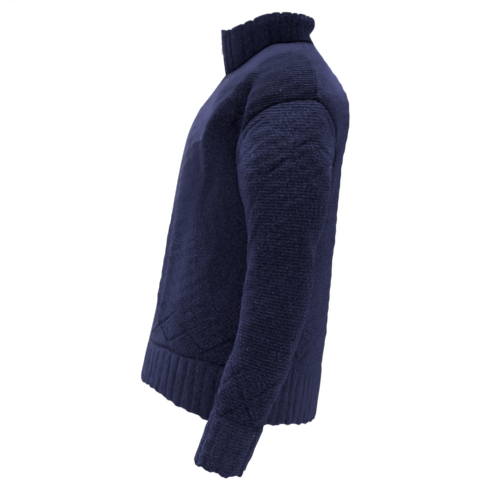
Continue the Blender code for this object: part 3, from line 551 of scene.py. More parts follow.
def travelling(distance):
    # a line of twisted stitches: a dark groove with a low ridge on each side
    groove = -knit["grooveDepth"] * bell(distance, knit["grooveWidth"])
    return groove + knit["ridgeLift"] * bell(np.abs(distance) - knit["ridgeFrom"], knit["ridgeWidth"])


def diamondLines(across, up, wide, tall):
    # distances to the two families of slanting lines of a diamond lattice
    scale = 1 / math.hypot(1 / wide, 1 / tall)
    first = across / wide + up / tall
    second = across / wide - up / tall
    return (first - np.round(first)) * scale, (second - np.round(second)) * scale


def strongest(first, second):
    # the lift of whichever line is nearer
    return np.where(np.abs(first) < np.abs(second), travelling(first), travelling(second))


def uneven(across, up, seed):
    # how strongly a line shows, 0.36 to 1: a product of two sines that wanders along it
    wave = np.sin(210 * across + 95 * up + seed) * np.sin(-120 * across + 260 * up + 2.3 * seed)
    return 0.68 + 0.32 * wave


panelKnit = {
    "front": {"columns": 137, "wide": 0.27, "hemRibs": 15},
    "back": {"columns": 213, "wide": 0.50, "hemRibs": 30},
    "rowsBelow": 165,
    "rowsBeside": 116,
    "rowsAbove": 117,
    "rowEase": 1.25,  # above 1, rows are closest together at the armhole's top and foot
    "ribRise": 0.0022,
    "ribGroove": 0.17,  # half width of a groove, as a share of a rib
    "ribTop": 0.086,
    "ribFade": (0.006, 0.004),
    "ribWander": 0.06,
    "weltUp": 0.0925,
    "weltWave": 0.0016,
    "weltFront": 0.8,
    "weltLoss": 0.5,
    "chevronLow": 0.106,
    "chevronRise": 0.028,
    "chevronValley": 71.0,
    "chevronTurn": 27.25,
    "latticeReach": 1.15,  # height of the lattice in diamonds
    "reachLoss": 0.55,
    "reachGain": 0.35,
    "latticeFade": 0.30,
    "edgeBand": 0.0085,  # plain border beside the zip
    "bandSoft": 0.0012,
    "bandLift": 0.0012,
    "bandGroove": 0.0011,
    "seamDip": 0.0018,
    "seamRoll": 0.0042,
    "seamBlend": 0.004,
    "mossShare": 0.6,
    "yokeLean": 53,  # degrees to a metre of height
    "yokeUp": 0.55,
    # lowers the yoke's relief mark, which paints shade on the yoke panel
    "yokeShade": 0.5,
}
# where each part begins and is whole: degrees of turn, metres of height, or tiers of diamonds
panelFades = {
    "weltSide": (95, 120),
    "latticeFront": (38, 58),
    "latticeRear": (105, 140),
    "latticeFoot": (-0.10, 0.0),
    "latticeStrong": (36, 48),
    "mossFoot": (0.095, 0.099),
    "mossTop": (0.165, 0.205),
    "mossSide": (100, 125),
    "yokeFront": (58, 61),
    "yokeRear": (100, 104),
    "yokeFoot": (0.47, 0.50),
    "yokeTop": (0.645, 0.665),
    "calmHem": (0.09, 0.16),
    "calmNeck": (0.66, 0.72),
    "calmZip": (6, 14),
    "calmSpine": (0, 8),
}
# smaller creases than the CAD's, their turns counted on both sides; the second list is for the right side
smallFolds = {
    "left": (
        (30.0, 0.560, 40.0, 0.360, 0.014, 0.0020), (58.0, 0.470, 50.0, 0.300, 0.012, -0.0022),
        (72.0, 0.300, 52.0, 0.200, 0.013, 0.0018), (84.0, 0.290, 66.0, 0.170, 0.012, -0.0018),
        (15.0, 0.400, 14.0, 0.105, 0.008, 0.0032), (22.0, 0.370, 20.5, 0.100, 0.008, -0.0030),
        (29.0, 0.340, 26.0, 0.095, 0.009, 0.0022), (118.0, 0.400, 108.0, 0.260, 0.013, -0.0024),
        (146.0, 0.480, 138.0, 0.300, 0.014, 0.0020), (164.0, 0.400, 168.0, 0.180, 0.018, 0.0018),
    ),
    "right": (
        (34.0, 0.580, 44.0, 0.400, 0.015, 0.0018), (60.0, 0.440, 54.0, 0.280, 0.012, -0.0020),
        (70.0, 0.320, 56.0, 0.230, 0.012, 0.0020), (88.0, 0.270, 70.0, 0.150, 0.013, -0.0016),
        (16.0, 0.380, 14.5, 0.110, 0.009, 0.0028), (24.0, 0.350, 21.0, 0.105, 0.009, -0.0026),
        (116.0, 0.420, 106.0, 0.270, 0.014, -0.0022), (150.0, 0.460, 142.0, 0.260, 0.015, 0.0020),
        (170.0, 0.360, 163.0, 0.200, 0.016, -0.0014),
    ),
}

# the bent creases from the shoulder down the chest: width, and turn, up and rise along each
chestFolds = {
    "left": {
        "ridge": {
            "width": 0.0130,
            "line": (
                (68.0, 0.625, 0.000), (63.0, 0.596, 0.009), (57.5, 0.568, 0.015), (52.0, 0.536, 0.018),
                (50.5, 0.500, 0.015), (50.0, 0.450, 0.010), (49.5, 0.360, 0.000),
            ),
        },
        "valley": {
            "width": 0.0090,
            "line": (
                (66.0, 0.595, 0.000), (62.5, 0.570, -0.009), (59.5, 0.548, -0.014), (59.0, 0.522, -0.016),
                (60.0, 0.498, -0.015), (61.5, 0.470, -0.012), (64.0, 0.440, -0.009), (70.0, 0.395, 0.000),
            ),
        },
        "breast": {
            "width": 0.0300,
            "line": ((28.0, 0.470, 0.002), (40.0, 0.470, 0.007), (52.0, 0.470, 0.007), (66.0, 0.470, 0.002)),
        },
    },
    "right": {
        "ridge": {
            "width": 0.0135,
            "line": (
                (69.0, 0.615, 0.000), (64.0, 0.588, 0.008), (58.0, 0.560, 0.014), (52.5, 0.526, 0.016),
                (50.5, 0.490, 0.013), (49.0, 0.430, 0.008), (48.5, 0.350, 0.000),
            ),
        },
        "valley": {
            "width": 0.0095,
            "line": (
                (67.0, 0.585, 0.000), (63.0, 0.560, -0.008), (60.5, 0.538, -0.013), (60.0, 0.512, -0.014),
                (61.0, 0.488, -0.013), (63.0, 0.458, -0.010), (66.0, 0.425, -0.006), (71.0, 0.385, 0.000),
            ),
        },
        "breast": {
            "width": 0.0300,
            "line": ((28.0, 0.465, 0.002), (41.0, 0.470, 0.006), (54.0, 0.465, 0.006), (66.0, 0.470, 0.002)),
        },
    },
}

# the fullness under the shoulder blades, its turns counted right round
backFolds = {
    "blades": {
        "width": 0.0260,
        "line": (
            (112.0, 0.475, 0.000), (124.0, 0.465, 0.005), (138.0, 0.480, 0.002), (152.0, 0.462, 0.005),
            (168.0, 0.480, 0.002), (182.0, 0.470, 0.003), (196.0, 0.482, 0.002), (212.0, 0.464, 0.005),
            (226.0, 0.478, 0.002), (240.0, 0.468, 0.004), (250.0, 0.475, 0.000),
        ),
    },
}


def bentFolds(folds, side, up):
    # each crease: its rise at the nearest point of a rounded line * exp(-(distance / width)^2)
    lift = np.zeros(side.shape)
    for fold in folds.values():
        corners = np.array(fold["line"])
        line = between(np.linspace(0, len(corners) - 1, 61), np.arange(len(corners)), corners)
        for _ in range(12):
            line[1:-1] = 0.25 * line[:-2] + 0.5 * line[1:-1] + 0.25 * line[2:]
        away = np.hypot((side[..., None] - line[:, 0]) * bodyForm["girth"], up[..., None] - line[:, 1])
        lift = lift + line[away.argmin(axis=-1), 2] * bell(away.min(axis=-1), fold["width"])
    return lift


def panelRows():
    # height of each row in the middle of a panel, and where it meets the armhole
    low, top, neck = armhole["low"], bodyForm["shoulderUp"], bodyForm["neckUp"]
    below = edgedSteps(low, panelKnit["rowsBelow"], end=False) * low
    steps = np.arange(1, panelKnit["rowsBeside"] + 1) / panelKnit["rowsBeside"]
    above = top + edgedSteps(neck - top, panelKnit["rowsAbove"], start=False)[1:] * (neck - top)
    even = np.concatenate([below, low + (top - low) * steps, above])
    ease = panelKnit["rowEase"]
    eased = steps**ease / (steps**ease + (1 - steps) ** ease)
    edge = np.concatenate([below, armholeMiddle - armholeHalf * np.cos(np.pi * eased), above])
    return even[:, None], edge[:, None]


def panelGrid(panel):
    # turn and height of each point of a panel, and its share of the way across
    even, edge = panelRows()
    share = edgedSteps(panelKnit[panel]["wide"], panelKnit[panel]["columns"])[None, :]
    beside = (edge > armhole["low"]) & (edge < bodyForm["shoulderUp"])
    front, back = (np.where(beside, reach, 0.0) for reach in armholeReach(edge))
    seam = seamTurn(edge)
    if panel == "front":
        first, last = bodyTurn(bodyForm["edgeHalf"], edge), seam - front
        near = share**2
    else:
        first, last = seam + back, 360.0 - seam - back
        near = (2 * share - 1) ** 2
    turn = first + (last - first) * share
    return turn, even + (edge - even) * near, np.broadcast_to(share, turn.shape)


def seamCurve(points, first, second):
    # a seam's points, and the direction between the two skins that meet there
    return {"points": points, "out": unit(first + second)}


roundSeam = np.linspace(0.0, 360.0, 241)[:-1]
armholePoints, armholeTurn, armholeUp = armholeAt(roundSeam)
armholeCurve = seamCurve(armholePoints, bodyOut(armholeTurn, armholeUp), sleeveOut(roundSeam, 0.0))
farCurve = {key: rows * mirrorX for key, rows in armholeCurve.items()}
neckOut = bodyOut(roundSeam, bodyForm["neckUp"]), collarOut(roundSeam, 0.0)
neckCurve = seamCurve(collar(roundSeam, 0.0), *neckOut)


def joinAt(points, out, curves):
    # near a seam the cloth sinks into it, along the direction between the two skins that meet there
    lift = np.zeros(points.shape[:-1])
    for curve in curves:
        away, index = nearest(points, curve["points"])
        out = unit(out + (curve["out"][index] - out) * bell(away, panelKnit["seamBlend"])[..., None])
        lift = lift + roll(away, panelKnit["seamDip"], panelKnit["seamRoll"])
    return out, lift


def ribs(phase):
    # 0 in a groove and 1 on a rib, rounded: 1 - exp(-(distance to the groove)^2)
    return 1.0 - bell(np.minimum(phase % 1.0, 1.0 - phase % 1.0), panelKnit["ribGroove"])


def border(fromZip):
    # a plain border beside the zip: where the knit begins, and the groove between them
    edge = panelKnit["edgeBand"]
    groove = -panelKnit["bandGroove"] * bell(fromZip - edge, panelKnit["bandGroove"])
    return softStep(fromZip, edge - panelKnit["bandSoft"], edge), groove


def panelFade(name, x):
    return softStep(x, *panelFades[name])


def bodyRelief(turn, up, share, across, ribCount):
    # ribs up to a welt, a diamond lattice above it, and moss stitch between the lattice's lines
    look = panelKnit
    side = sideTurn(turn)
    below, above = look["ribFade"]
    ribbed = 1 - softStep(up, look["ribTop"] - below, look["ribTop"] + above)
    lift = ribs(share * ribCount + look["ribWander"] * np.sin(31 * share * ribCount / 15 + 40 * up))
    lift = look["ribRise"] * lift * ribbed
    lift = lift * (0.78 + 0.22 * np.sin(2.4 * share * ribCount + 1.0) * np.sin(70 * up + share * 9))
    # the welt that closes the rib, a little wavy and fainter to the rear
    phase = (side - look["chevronValley"]) / look["chevronTurn"]
    welt = up - look["weltUp"] - look["weltWave"] * np.cos(2 * np.pi * phase)
    shown = (look["weltFront"] - look["weltLoss"] * panelFade("weltSide", side)) * travelling(welt)
    lift = lift + shown * (1 - ribbed) * uneven(across, up, 2.0)
    # the chevron is the foot of a diamond lattice that fades out upwards, soonest at the side
    tall = 2 * look["chevronRise"]
    tiers = (up - look["chevronLow"]) / tall
    wide = bodyForm["girth"] * look["chevronTurn"]
    one, two = diamondLines(phase * wide, tiers * tall, wide, tall)
    reach = look["latticeReach"] - look["reachLoss"] * panelFade("latticeFront", side)
    reach = reach + look["reachGain"] * panelFade("latticeRear", side)
    shown = panelFade("latticeFoot", tiers) * (1 - softStep(tiers, reach, reach + look["latticeFade"]))
    strength = 0.55 + 0.45 * (1 - panelFade("latticeStrong", side)) + 0.2 * bell(tiers - 0.2, 0.2)
    shown = shown * uneven(across, up, 0.4) * strength
    lift = lift + strongest(one, two) * shown
    mossy = panelFade("mossFoot", up) * (1 - panelFade("mossTop", up)) * (1 - panelFade("mossSide", side))
    lines = bell(np.minimum(np.abs(one), np.abs(two)), knit["lineClear"]) * shown
    mossy = look["mossShare"] * mossy * (1 - lines)
    return lift + moss(across, up) * mossy, mossy


def knitPanel(name, panel, mirror):
    # a front or the back: the body's skin, its small folds, its stitches, and its rolled and sunken edges
    turn, up, share = panelGrid(panel)
    skin = body(turn, up)
    sides = sideTurn(turn)
    out = bodyOut(turn, up)
    calm = panelFade("calmHem", up) * (1 - panelFade("calmNeck", up)) * panelFade("calmZip", sides)
    folds = {half: foldLift(smallFolds[half], sides, up, ends=0.0) for half in ("left", "right")}
    if panel == "front":
        half = "right" if mirror else "left"
        lift = folds[half] + bentFolds(chestFolds[half], turn, up)
    else:
        lift = np.where(turn < 180, folds["left"], folds["right"])
        lift = lift * panelFade("calmSpine", np.abs(turn - 180)) + bentFolds(backFolds, turn, up)
    waves = handmade(skin * mirrorX if mirror else skin)
    skin = skin + out * ((lift + waves) * calm)[..., None]
    fromStart = arcLengths(skin, 1)
    fromEnd = fromStart[:, -1:] - fromStart
    across = fromStart if panel == "front" else fromStart - 0.5 * fromStart[:, -1:]
    curves = [armholeCurve, neckCurve] + ([farCurve] if panel == "back" else [])
    out, joined = joinAt(skin, out, curves)
    relief, mossy = bodyRelief(turn, up, share, across, panelKnit[panel]["hemRibs"])
    # free edges and the side and shoulder seams roll inwards; a plain border lies beside the zip
    ends = roll(fromEnd, *cloth["seamRoll"])
    if panel == "front":
        band, groove = border(fromStart)
        relief = relief * band + (1 - band) * panelKnit["bandLift"]
        ends = ends + groove + roll(fromStart, *cloth["zipRoll"])
    else:
        ends = ends + roll(fromStart, *cloth["seamRoll"])
    total = relief * np.clip(np.minimum(fromEnd, 1.0) / cloth["seamFade"], 0, 1) + ends
    total = total + roll(arcLengths(skin), *cloth["freeRoll"]) + joined
    outer, inner = wallOf(skin, out, total, edgeRipple(across, up))
    # the yoke's rows end at a leaning line in front, a level line above and the shoulder seam behind
    lean = sides - panelKnit["yokeLean"] * (up - panelKnit["yokeUp"])
    yoke = panelFade("yokeFront", lean) * (1 - panelFade("yokeRear", sides))
    yoke = yoke * panelFade("yokeFoot", up) * (1 - panelFade("yokeTop", up))
    # the relief mark, which the material turns into painted shade where it is low (grooves, seam dips, rolled
    # edges) and painted highlight where it is high; it is lowered on the yoke to paint shade there
    raised = (relief + ends + joined) / cloth["reliefUnit"] - panelKnit["yokeShade"] * yoke
    marks = {"relief": raised, "garter": yoke, "moss": mossy}
    made = (outer, inner, np.stack([across, up], axis=-1), marks)
    return knitShell(name, *(otherSide(slice(None, None, -1), *made) if mirror else made))


frontLeft = knitPanel("knit_front_left", "front", False)
frontRight = knitPanel("knit_front_right", "front", True)
knitBack = knitPanel("knit_back", "back", False)
print("front and back panels knitted")


sleeveKnit = {
    "columns": 168,
    "rows": 345,
    "length": 0.600,
    "cuffAlong": 0.875,
    "cuffFade": (0.012, 0.016),
    "cuffRibs": 13,
    "cuffGroove": 34.0,  # one groove of the cuff lies at this angle
    "ribRise": 0.0019,
    "ribQuiet": 0.45,  # how much lower the ribs are on the outer side, and over what angle
    "quietAngle": 60.0,
    "cuffRound": 0.25,
    "cuffUp": 0.006,  # the zigzag border of the cuff
    "cuffZigzag": 0.003,
    "cuffZigzagWide": 0.030,
    "latticeDrop": 0.096,  # where the upper diamonds cross, below the armhole's top
    "latticeWide": 0.0750,
    "latticeTall": 0.0660,
    "chevronDrop": 0.058,
    "chevronRise": 0.020,
    "chevronSteep": 0.87,
    "crownFade": 0.006,
    "outerY": 0.0165,  # the outermost line of the sleeve's head, seen from the side
    "border": 0.0180,
    "borderFade": 0.004,
    "lowerDrop": 0.478,  # the same lattice again above the cuff
    "lowerWide": 0.0600,
    "seamAngle": 304.0,  # the ridge along the cuff's rear
    # height or depth, and width, of that ridge and of the dark strip behind it
    "seamRidge": (0.0018, 0.0032),
    "seamStrip": (0.0024, 0.0036),
    "seamApart": 0.0075,
    "creaseReach": 55.0,
    "ripple": 1.5,
    "garterLoss": 0.4,
}
# how strongly each kind of line shows
sleeveShown = {"rising": 0.58, "falling": 0.34, "chevron": 0.52, "border": 0.8, "cuff": 0.3, "lower": 0.55}
# where each part begins and is whole: shares of the sleeve, degrees round it, metres, or tiers of diamonds
sleeveFades = {
    "seam": (0.80, 0.90),
    "outerSide": (85, 115),
    "latticeTop": (-0.42, -0.34),
    "latticeFoot": (0.42, 0.60),
    "crown": (0.016, 0.024),
    "borderFlat": (0.030, 0.040),
    "borderDrop": (0.020, 0.032),
    "borderSide": (125, 150),
    "lower": (0.55, 0.84),
    "head": (0.115, 0.150),
    "creases": (0.02, 0.10),
    "waves": (0.0, 0.05),
    "cuff": (0.86, 0.90),
}
sleeveCreases = {
    # round, along, slope, width in shares of the sleeve, rise
    "left": (
        (100.0, 0.30, 0.10, 0.016, -0.0022), (86.0, 0.36, 0.12, 0.018, 0.0020),
        (250.0, 0.44, -0.10, 0.018, 0.0022), (235.0, 0.51, -0.08, 0.016, -0.0024),
        (20.0, 0.60, 0.06, 0.022, 0.0014), (310.0, 0.56, 0.05, 0.020, -0.0014),
        (190.0, 0.62, 0.10, 0.018, 0.0022), (90.0, 0.70, -0.07, 0.018, -0.0018),
        (60.0, 0.82, 0.06, 0.014, 0.0016), (280.0, 0.83, -0.05, 0.014, 0.0016),
    ),
    "right": (
        (106.0, 0.27, 0.09, 0.017, -0.0020), (80.0, 0.38, 0.11, 0.018, 0.0022),
        (244.0, 0.47, -0.11, 0.018, 0.0020), (230.0, 0.54, -0.07, 0.017, -0.0022),
        (30.0, 0.57, 0.06, 0.020, 0.0014), (200.0, 0.66, 0.10, 0.018, 0.0020),
        (96.0, 0.73, -0.08, 0.017, -0.0018), (270.0, 0.81, -0.05, 0.014, 0.0016),
    ),
}


def sleeveFade(name, x):
    return softStep(x, *sleeveFades[name])


def sleeveRelief(around, along, across, drop, flat, away):
    # cuff ribs and their seam, a lattice under a chevron on the head, a border, and a lattice above the cuff
    look, show = sleeveKnit, sleeveShown
    before, after = look["cuffFade"]
    ribbed = softStep(along, look["cuffAlong"] - before, look["cuffAlong"] + after)
    angle = (around + 180.0) % 360.0 - 180.0
    quiet = 1 - look["ribQuiet"] * bell(angle, look["quietAngle"])
    phase = (around - look["cuffGroove"]) / 360.0 * look["cuffRibs"]
    lift = look["ribRise"] * (1 - (1 - ribs(phase)) * quiet) * ribbed
    # the ridge of the sleeve seam along the rear of the cuff, with a dark strip behind it
    behind = (around - look["seamAngle"]) / 360.0 * look["cuffRound"]
    (ridge, ridgeWide), (strip, stripWide) = look["seamRidge"], look["seamStrip"]
    seam = ridge * bell(behind, ridgeWide) - strip * bell(behind + look["seamApart"], stripWide)
    lift = lift + seam * sleeveFade("seam", along)
    # border of the cuff, a shallow zigzag
    edge = (along - look["cuffAlong"] + look["cuffUp"]) * look["length"]
    edge = edge - look["cuffZigzag"] * np.abs(2 * ((across / look["cuffZigzagWide"]) % 1.0) - 1)
    lift = lift + travelling(edge) * show["cuff"]
    # upper lattice under a single chevron, both as seen flat from the sleeve's outer side
    wide, tall = look["latticeWide"], look["latticeTall"]
    one, two = diamondLines(flat, drop - look["latticeDrop"], wide, tall)
    tier = (drop - look["latticeDrop"]) / tall
    outerSide = 1 - sleeveFade("outerSide", np.abs(angle))
    upper = sleeveFade("latticeTop", tier) * (1 - sleeveFade("latticeFoot", tier)) * outerSide
    zigzag = np.abs(2 * ((flat / wide + 0.5) % 1.0) - 1)
    chevron = (drop - look["chevronDrop"] + look["chevronRise"] * zigzag) * look["chevronSteep"]
    crown = 1 - softStep(np.abs(flat), 0.5 * wide, 0.5 * wide + look["crownFade"])
    crown = sleeveFade("crown", away) * outerSide * crown
    strong = np.where(np.abs(one) < np.abs(two), show["rising"], show["falling"])
    lift = lift + strongest(one, two) * upper * strong * uneven(across, drop, 1.2)
    lift = lift + show["chevron"] * travelling(chevron) * crown * uneven(across, drop, 3.1)
    # the border beside the armhole, plain up to a groove
    bound = sleeveFade("borderFlat", np.abs(flat)) * sleeveFade("borderDrop", drop)
    bound = bound * (1 - sleeveFade("borderSide", np.abs(angle)))
    lift = lift + show["border"] * travelling(away - look["border"]) * bound * uneven(across, drop, 5.0)
    # lower lattice, fainter
    below = drop - look["lowerDrop"]
    three, four = diamondLines(across, below, look["lowerWide"], tall)
    lower = (1 - sleeveFade("lower", np.abs(below) / tall)) * (1 - ribbed)
    lift = lift + show["lower"] * strongest(three, four) * lower * uneven(across, drop, 0.2)
    lines = np.minimum(np.minimum(np.abs(one), np.abs(two)) + (1 - upper), np.abs(chevron) + (1 - crown))
    lines = np.minimum(lines, np.minimum(np.abs(three), np.abs(four)) + (1 - lower))
    clear = 1 - bell(lines, knit["lineClear"])
    head = softStep(away, look["border"], look["border"] + look["borderFade"])
    head = outerSide * (1 - sleeveFade("head", drop)) * head
    mossy = np.maximum(0.45 * head, 0.5 * lower) * clear * (1 - ribbed)
    return lift + moss(across, drop) * (0.4 + 0.6 * mossy) * (1 - ribbed), mossy


def knitSleeve(name, mirror):
    # a tube from the armhole's loop to the cuff: its skin, creases and stitches, all round
    columns = sleeveKnit["columns"]
    around = (np.arange(columns) * 360.0 / columns)[None, :]
    along = edgedSteps(sleeveKnit["length"], sleeveKnit["rows"])[:, None]
    skin = sleeve(around, along)
    around, along = np.broadcast_arrays(around, along)
    out = gridNormals(skin, True)
    folds = sleeveCreases["right" if mirror else "left"]
    creases = sleeveFolds(folds, around, along, sleeveKnit["creaseReach"])
    cuff = sleeveFade("cuff", along)
    calm = sleeveFade("creases", along) * (1 - cuff)
    waves = handmade(skin * mirrorX if mirror else skin)
    skin = skin + out * (creases * calm + waves * sleeveFade("waves", along))[..., None]
    lengths = arcLengths(np.concatenate([skin, skin[:, :1]], axis=1), 1)
    half = lengths[:, :-1]
    across = np.where(around > 180.0, half - lengths[:, -1:], half)
    height = sleeveHeight(skin, along)
    drop = height[0, 0] - height
    away, _ = nearest(skin, armholeCurve["points"])
    flat = skin[..., 1] - sleeveKnit["outerY"]
    out, joined = joinAt(skin, out, [armholeCurve])
    relief, mossy = sleeveRelief(around, along, across, drop, flat, away)
    fromEnd = (1 - along) * sleeveKnit["length"]
    ends = roll(fromEnd, *cloth["freeRoll"])
    total = relief * np.clip(along * sleeveKnit["length"] / cloth["seamFade"], 0, 1) + ends + joined
    outer, inner = wallOf(skin, out, total, edgeRipple(across, fromEnd, sleeveKnit["ripple"]))
    metres = np.stack([lengths, np.concatenate([height, height[:, :1]], axis=1)], axis=-1)
    # the relief mark, which the material turns into painted shade where it is low and painted highlight where
    # it is high
    raised = (relief + ends + joined) / cloth["reliefUnit"]
    marks = {"relief": raised, "garter": 1 - cuff * sleeveKnit["garterLoss"], "moss": mossy}
    made = (outer, inner, metres, marks)
    order = (-np.arange(columns)) % columns
    return knitShell(name, *(otherSide(order, *made) if mirror else made), wraps=True)


knitSleeveLeft = knitSleeve("knit_sleeve_left", False)
knitSleeveRight = knitSleeve("knit_sleeve_right", True)
print("sleeves knitted")


collarKnit = {
    "columns": 425,
    "rows": 61,
    "wide": 0.47,
    "tall": 0.085,
    "ribs": 12,
    # share of a rib, and height: a groove, a broad rib, a groove and a narrow rib
    "shape": (
        (0.00, 0.0), (0.035, 0.55), (0.09, 0.9), (0.31, 1.0), (0.53, 0.9), (0.59, 0.5),
        (0.63, 0.0), (0.67, 0.5), (0.73, 0.85), (0.90, 0.85), (0.96, 0.5), (1.0, 0.0),
    ),
    "ribRise": 0.0022,
    "bandShare": 0.75,
    "ribStart": (0.0, 0.05),  # shares of the height
    "rearLoss": 0.5,  # the ribs are flatter to the rear, between these turns
    "rearTurns": (60, 100),
    "scallop": 0.0030,
    "scallopStart": (0.7, 1.0),
    "waves": 0.6,
    # lowers the whole collar's relief mark, so that more of it takes the painted groove shade
    "paintedShade": 0.0012,
}


def knitCollar(name):
    # a band from zip edge to zip edge: broad and narrow ribs, between which the top edge sinks
    rise = edgedSteps(collarKnit["tall"], collarKnit["rows"])[:, None]
    first = collarTurn(bodyForm["edgeHalf"], rise)
    share = edgedSteps(collarKnit["wide"], collarKnit["columns"])[None, :]
    turn = first + (360.0 - 2 * first) * share
    skin = collar(turn, rise)
    out = gridNormals(skin, False)
    fromStart = arcLengths(skin, 1)
    fromZip = np.minimum(fromStart, fromStart[:, -1:] - fromStart)
    out, joined = joinAt(skin, out, [neckCurve])
    shares, heights = np.array(collarKnit["shape"]).T
    ribHeight = np.interp((share * collarKnit["ribs"]) % 1.0, shares, heights)
    ribHeight = np.broadcast_to(ribHeight, turn.shape)
    band, groove = border(fromZip)
    relief = collarKnit["ribRise"] * (ribHeight * band + (1 - band) * collarKnit["bandShare"]) + groove
    relief = relief * softStep(rise, *collarKnit["ribStart"])
    relief = relief * (1 - collarKnit["rearLoss"] * softStep(sideTurn(turn), *collarKnit["rearTurns"]))
    fromTop = arcLengths(skin[::-1])[::-1]
    ends = roll(fromZip, *cloth["zipRoll"]) + roll(fromTop, *cloth["freeRoll"])
    total = relief + ends + joined + handmade(skin) * collarKnit["waves"]
    wander = 0.8 + 0.45 * np.sin(5.3 * collarKnit["ribs"] * share + 0.6) * np.sin(17 * share + 1.1)
    sag = (ribHeight - 1.0) * collarKnit["scallop"] * wander * band
    sag = sag * softStep(rise, *collarKnit["scallopStart"])
    outer, inner = wallOf(skin, out, total, sag)
    none = np.zeros_like(turn)
    metres = np.stack([fromStart - 0.5 * fromStart[:, -1:], rise * collarKnit["tall"] + none], axis=-1)
    # the relief mark, lowered over the whole collar; the material paints shade where it is low and highlight
    # where it is high
    raised = (relief + ends + joined - collarKnit["paintedShade"]) / cloth["reliefUnit"]
    return knitShell(name, outer, inner, metres, {"relief": raised, "garter": 0.5 + none, "moss": none})


knitCollarPiece = knitCollar("knit_collar")
print("collar knitted")


class Wire:
    # one socket of a material; an operator on it adds the Math node that works it out
    def __init__(self, graph, socket):
        self.graph = graph
        self.socket = socket

    def calc(self, operation, *others):
        return self.graph.node("ShaderNodeMath", {"operation": operation}, dict(enumerate((self, *others))))

    def clamped(self):
        return self.calc("MAXIMUM", 0.0).calc("MINIMUM", 1.0)

    def __add__(self, other):
        return self.calc("ADD", other)

    def __radd__(self, other):
        return self.calc("ADD", other)

    def __sub__(self, other):
        return self.calc("SUBTRACT", other)

    def __rsub__(self, other):
        return self * -1.0 + other

    def __mul__(self, other):
        return self.calc("MULTIPLY", other)

    def __rmul__(self, other):
        return self.calc("MULTIPLY", other)

    def __truediv__(self, other):
        return self.calc("DIVIDE", other)


class Graph:
    # the nodes of one material
    def __init__(self, name):
        self.material = bpy.data.materials.new(name)
        self.material.use_nodes = True
        self.tree = self.material.node_tree
        self.shader = self.tree.nodes["Principled BSDF"]

    def node(self, kind, settings, sockets, out=0):
        made = self.tree.nodes.new(kind)
        for key, value in settings.items():
            setattr(made, key, value)
        for key, value in sockets.items():
            self.put(made.inputs[key], value)
        return Wire(self, made.outputs[out])

    def put(self, socket, value):
        if isinstance(value, Wire):
            self.tree.links.new(value.socket, socket)
        else:
            socket.default_value = value

    def surface(self, values):
        for name, value in values.items():
            self.put(self.shader.inputs[name], value)
        return self.material

    def place(self):
        return self.node("ShaderNodeTexCoord", {}, {}, out="Object")

    def part(self, vector, axis):
        return self.node("ShaderNodeSeparateXYZ", {}, {0: vector}, out=axis)

    def mark(self, name):
        return self.node("ShaderNodeAttribute", {"attribute_name": name}, {}, out="Fac")

    def noise(self, place, scale, detail, rough=0.5):
        sockets = {"Vector": place, "Scale": scale, "Detail": detail, "Roughness": rough}
        return self.node("ShaderNodeTexNoise", {}, sockets)

    def bump(self, strength, distance, height):
        return self.node("ShaderNodeBump", {}, {"Strength": strength, "Distance": distance, "Height": height})

    def mixColour(self, factor, low, high):
        return self.node("ShaderNodeMix", {"data_type": "RGBA"}, {0: factor, 6: low, 7: high}, out=2)

    def mixNumber(self, factor, low, high):
        return self.node("ShaderNodeMix", {"data_type": "FLOAT"}, {0: factor, 2: low, 3: high})


woolLook = {
    "deep": (0.0020, 0.0023, 0.0054, 1.0),  # painted shade in the grooves, seam dips and rolled edges
    "navy": (0.0057, 0.0066, 0.0182, 1.0),
    "highlightAndHeather": (0.0333, 0.0362, 0.0845, 1.0),  # painted highlight on raised relief and stitch tops, mixed in with the yarn's heather and fuzz
    "lint": (0.115, 0.123, 0.195, 1.0),
    "lintScale": 480.0,
    "lintFrom": 0.690,  # only the noise above this is lint
    "lintSharp": 10.0,
    "stitchWide": 0.0048,
    "rowTall": 0.0036,
    "garterTall": 0.0050,
    "wanderScale": 160.0,  # rows and columns wander by this much
    "wanderAcross": 0.0060,
    "wanderUp": 0.0040,
    "legLean": 1.3,  # how far the legs of a stitch slant, in rows
    "legShare": 0.45,
    "waleShare": 0.55,
    "waleRound": 0.6,
    "garterArc": 0.11,
    "garterDip": 0.18,
    "fuzzScale": 620.0,
    "heatherScale": 230.0,
    # how much each counts in the bumps and in the lighter colour: relief and stitch tops give painted
    # highlight, heather and fuzz the yarn's own tone
    "bumps": {"stitches": 0.6, "fuzz": 0.8, "heather": 0.5, "distance": 0.0026},
    "highlightAndTone": {"relief": 0.22, "stitches": 0.62, "heather": 1.3, "fuzz": 2.3, "base": 0.01},
    "shadeGain": -0.9,  # the relief below this start turns to the deep colour, which is painted shade
    "shadeStart": 0.15,
    "sheen": 0.50,
    "sheenRough": 0.09,
    "sheenTint": (0.37, 0.40, 1.0, 1.0),
}
turnRound = 2 * math.pi


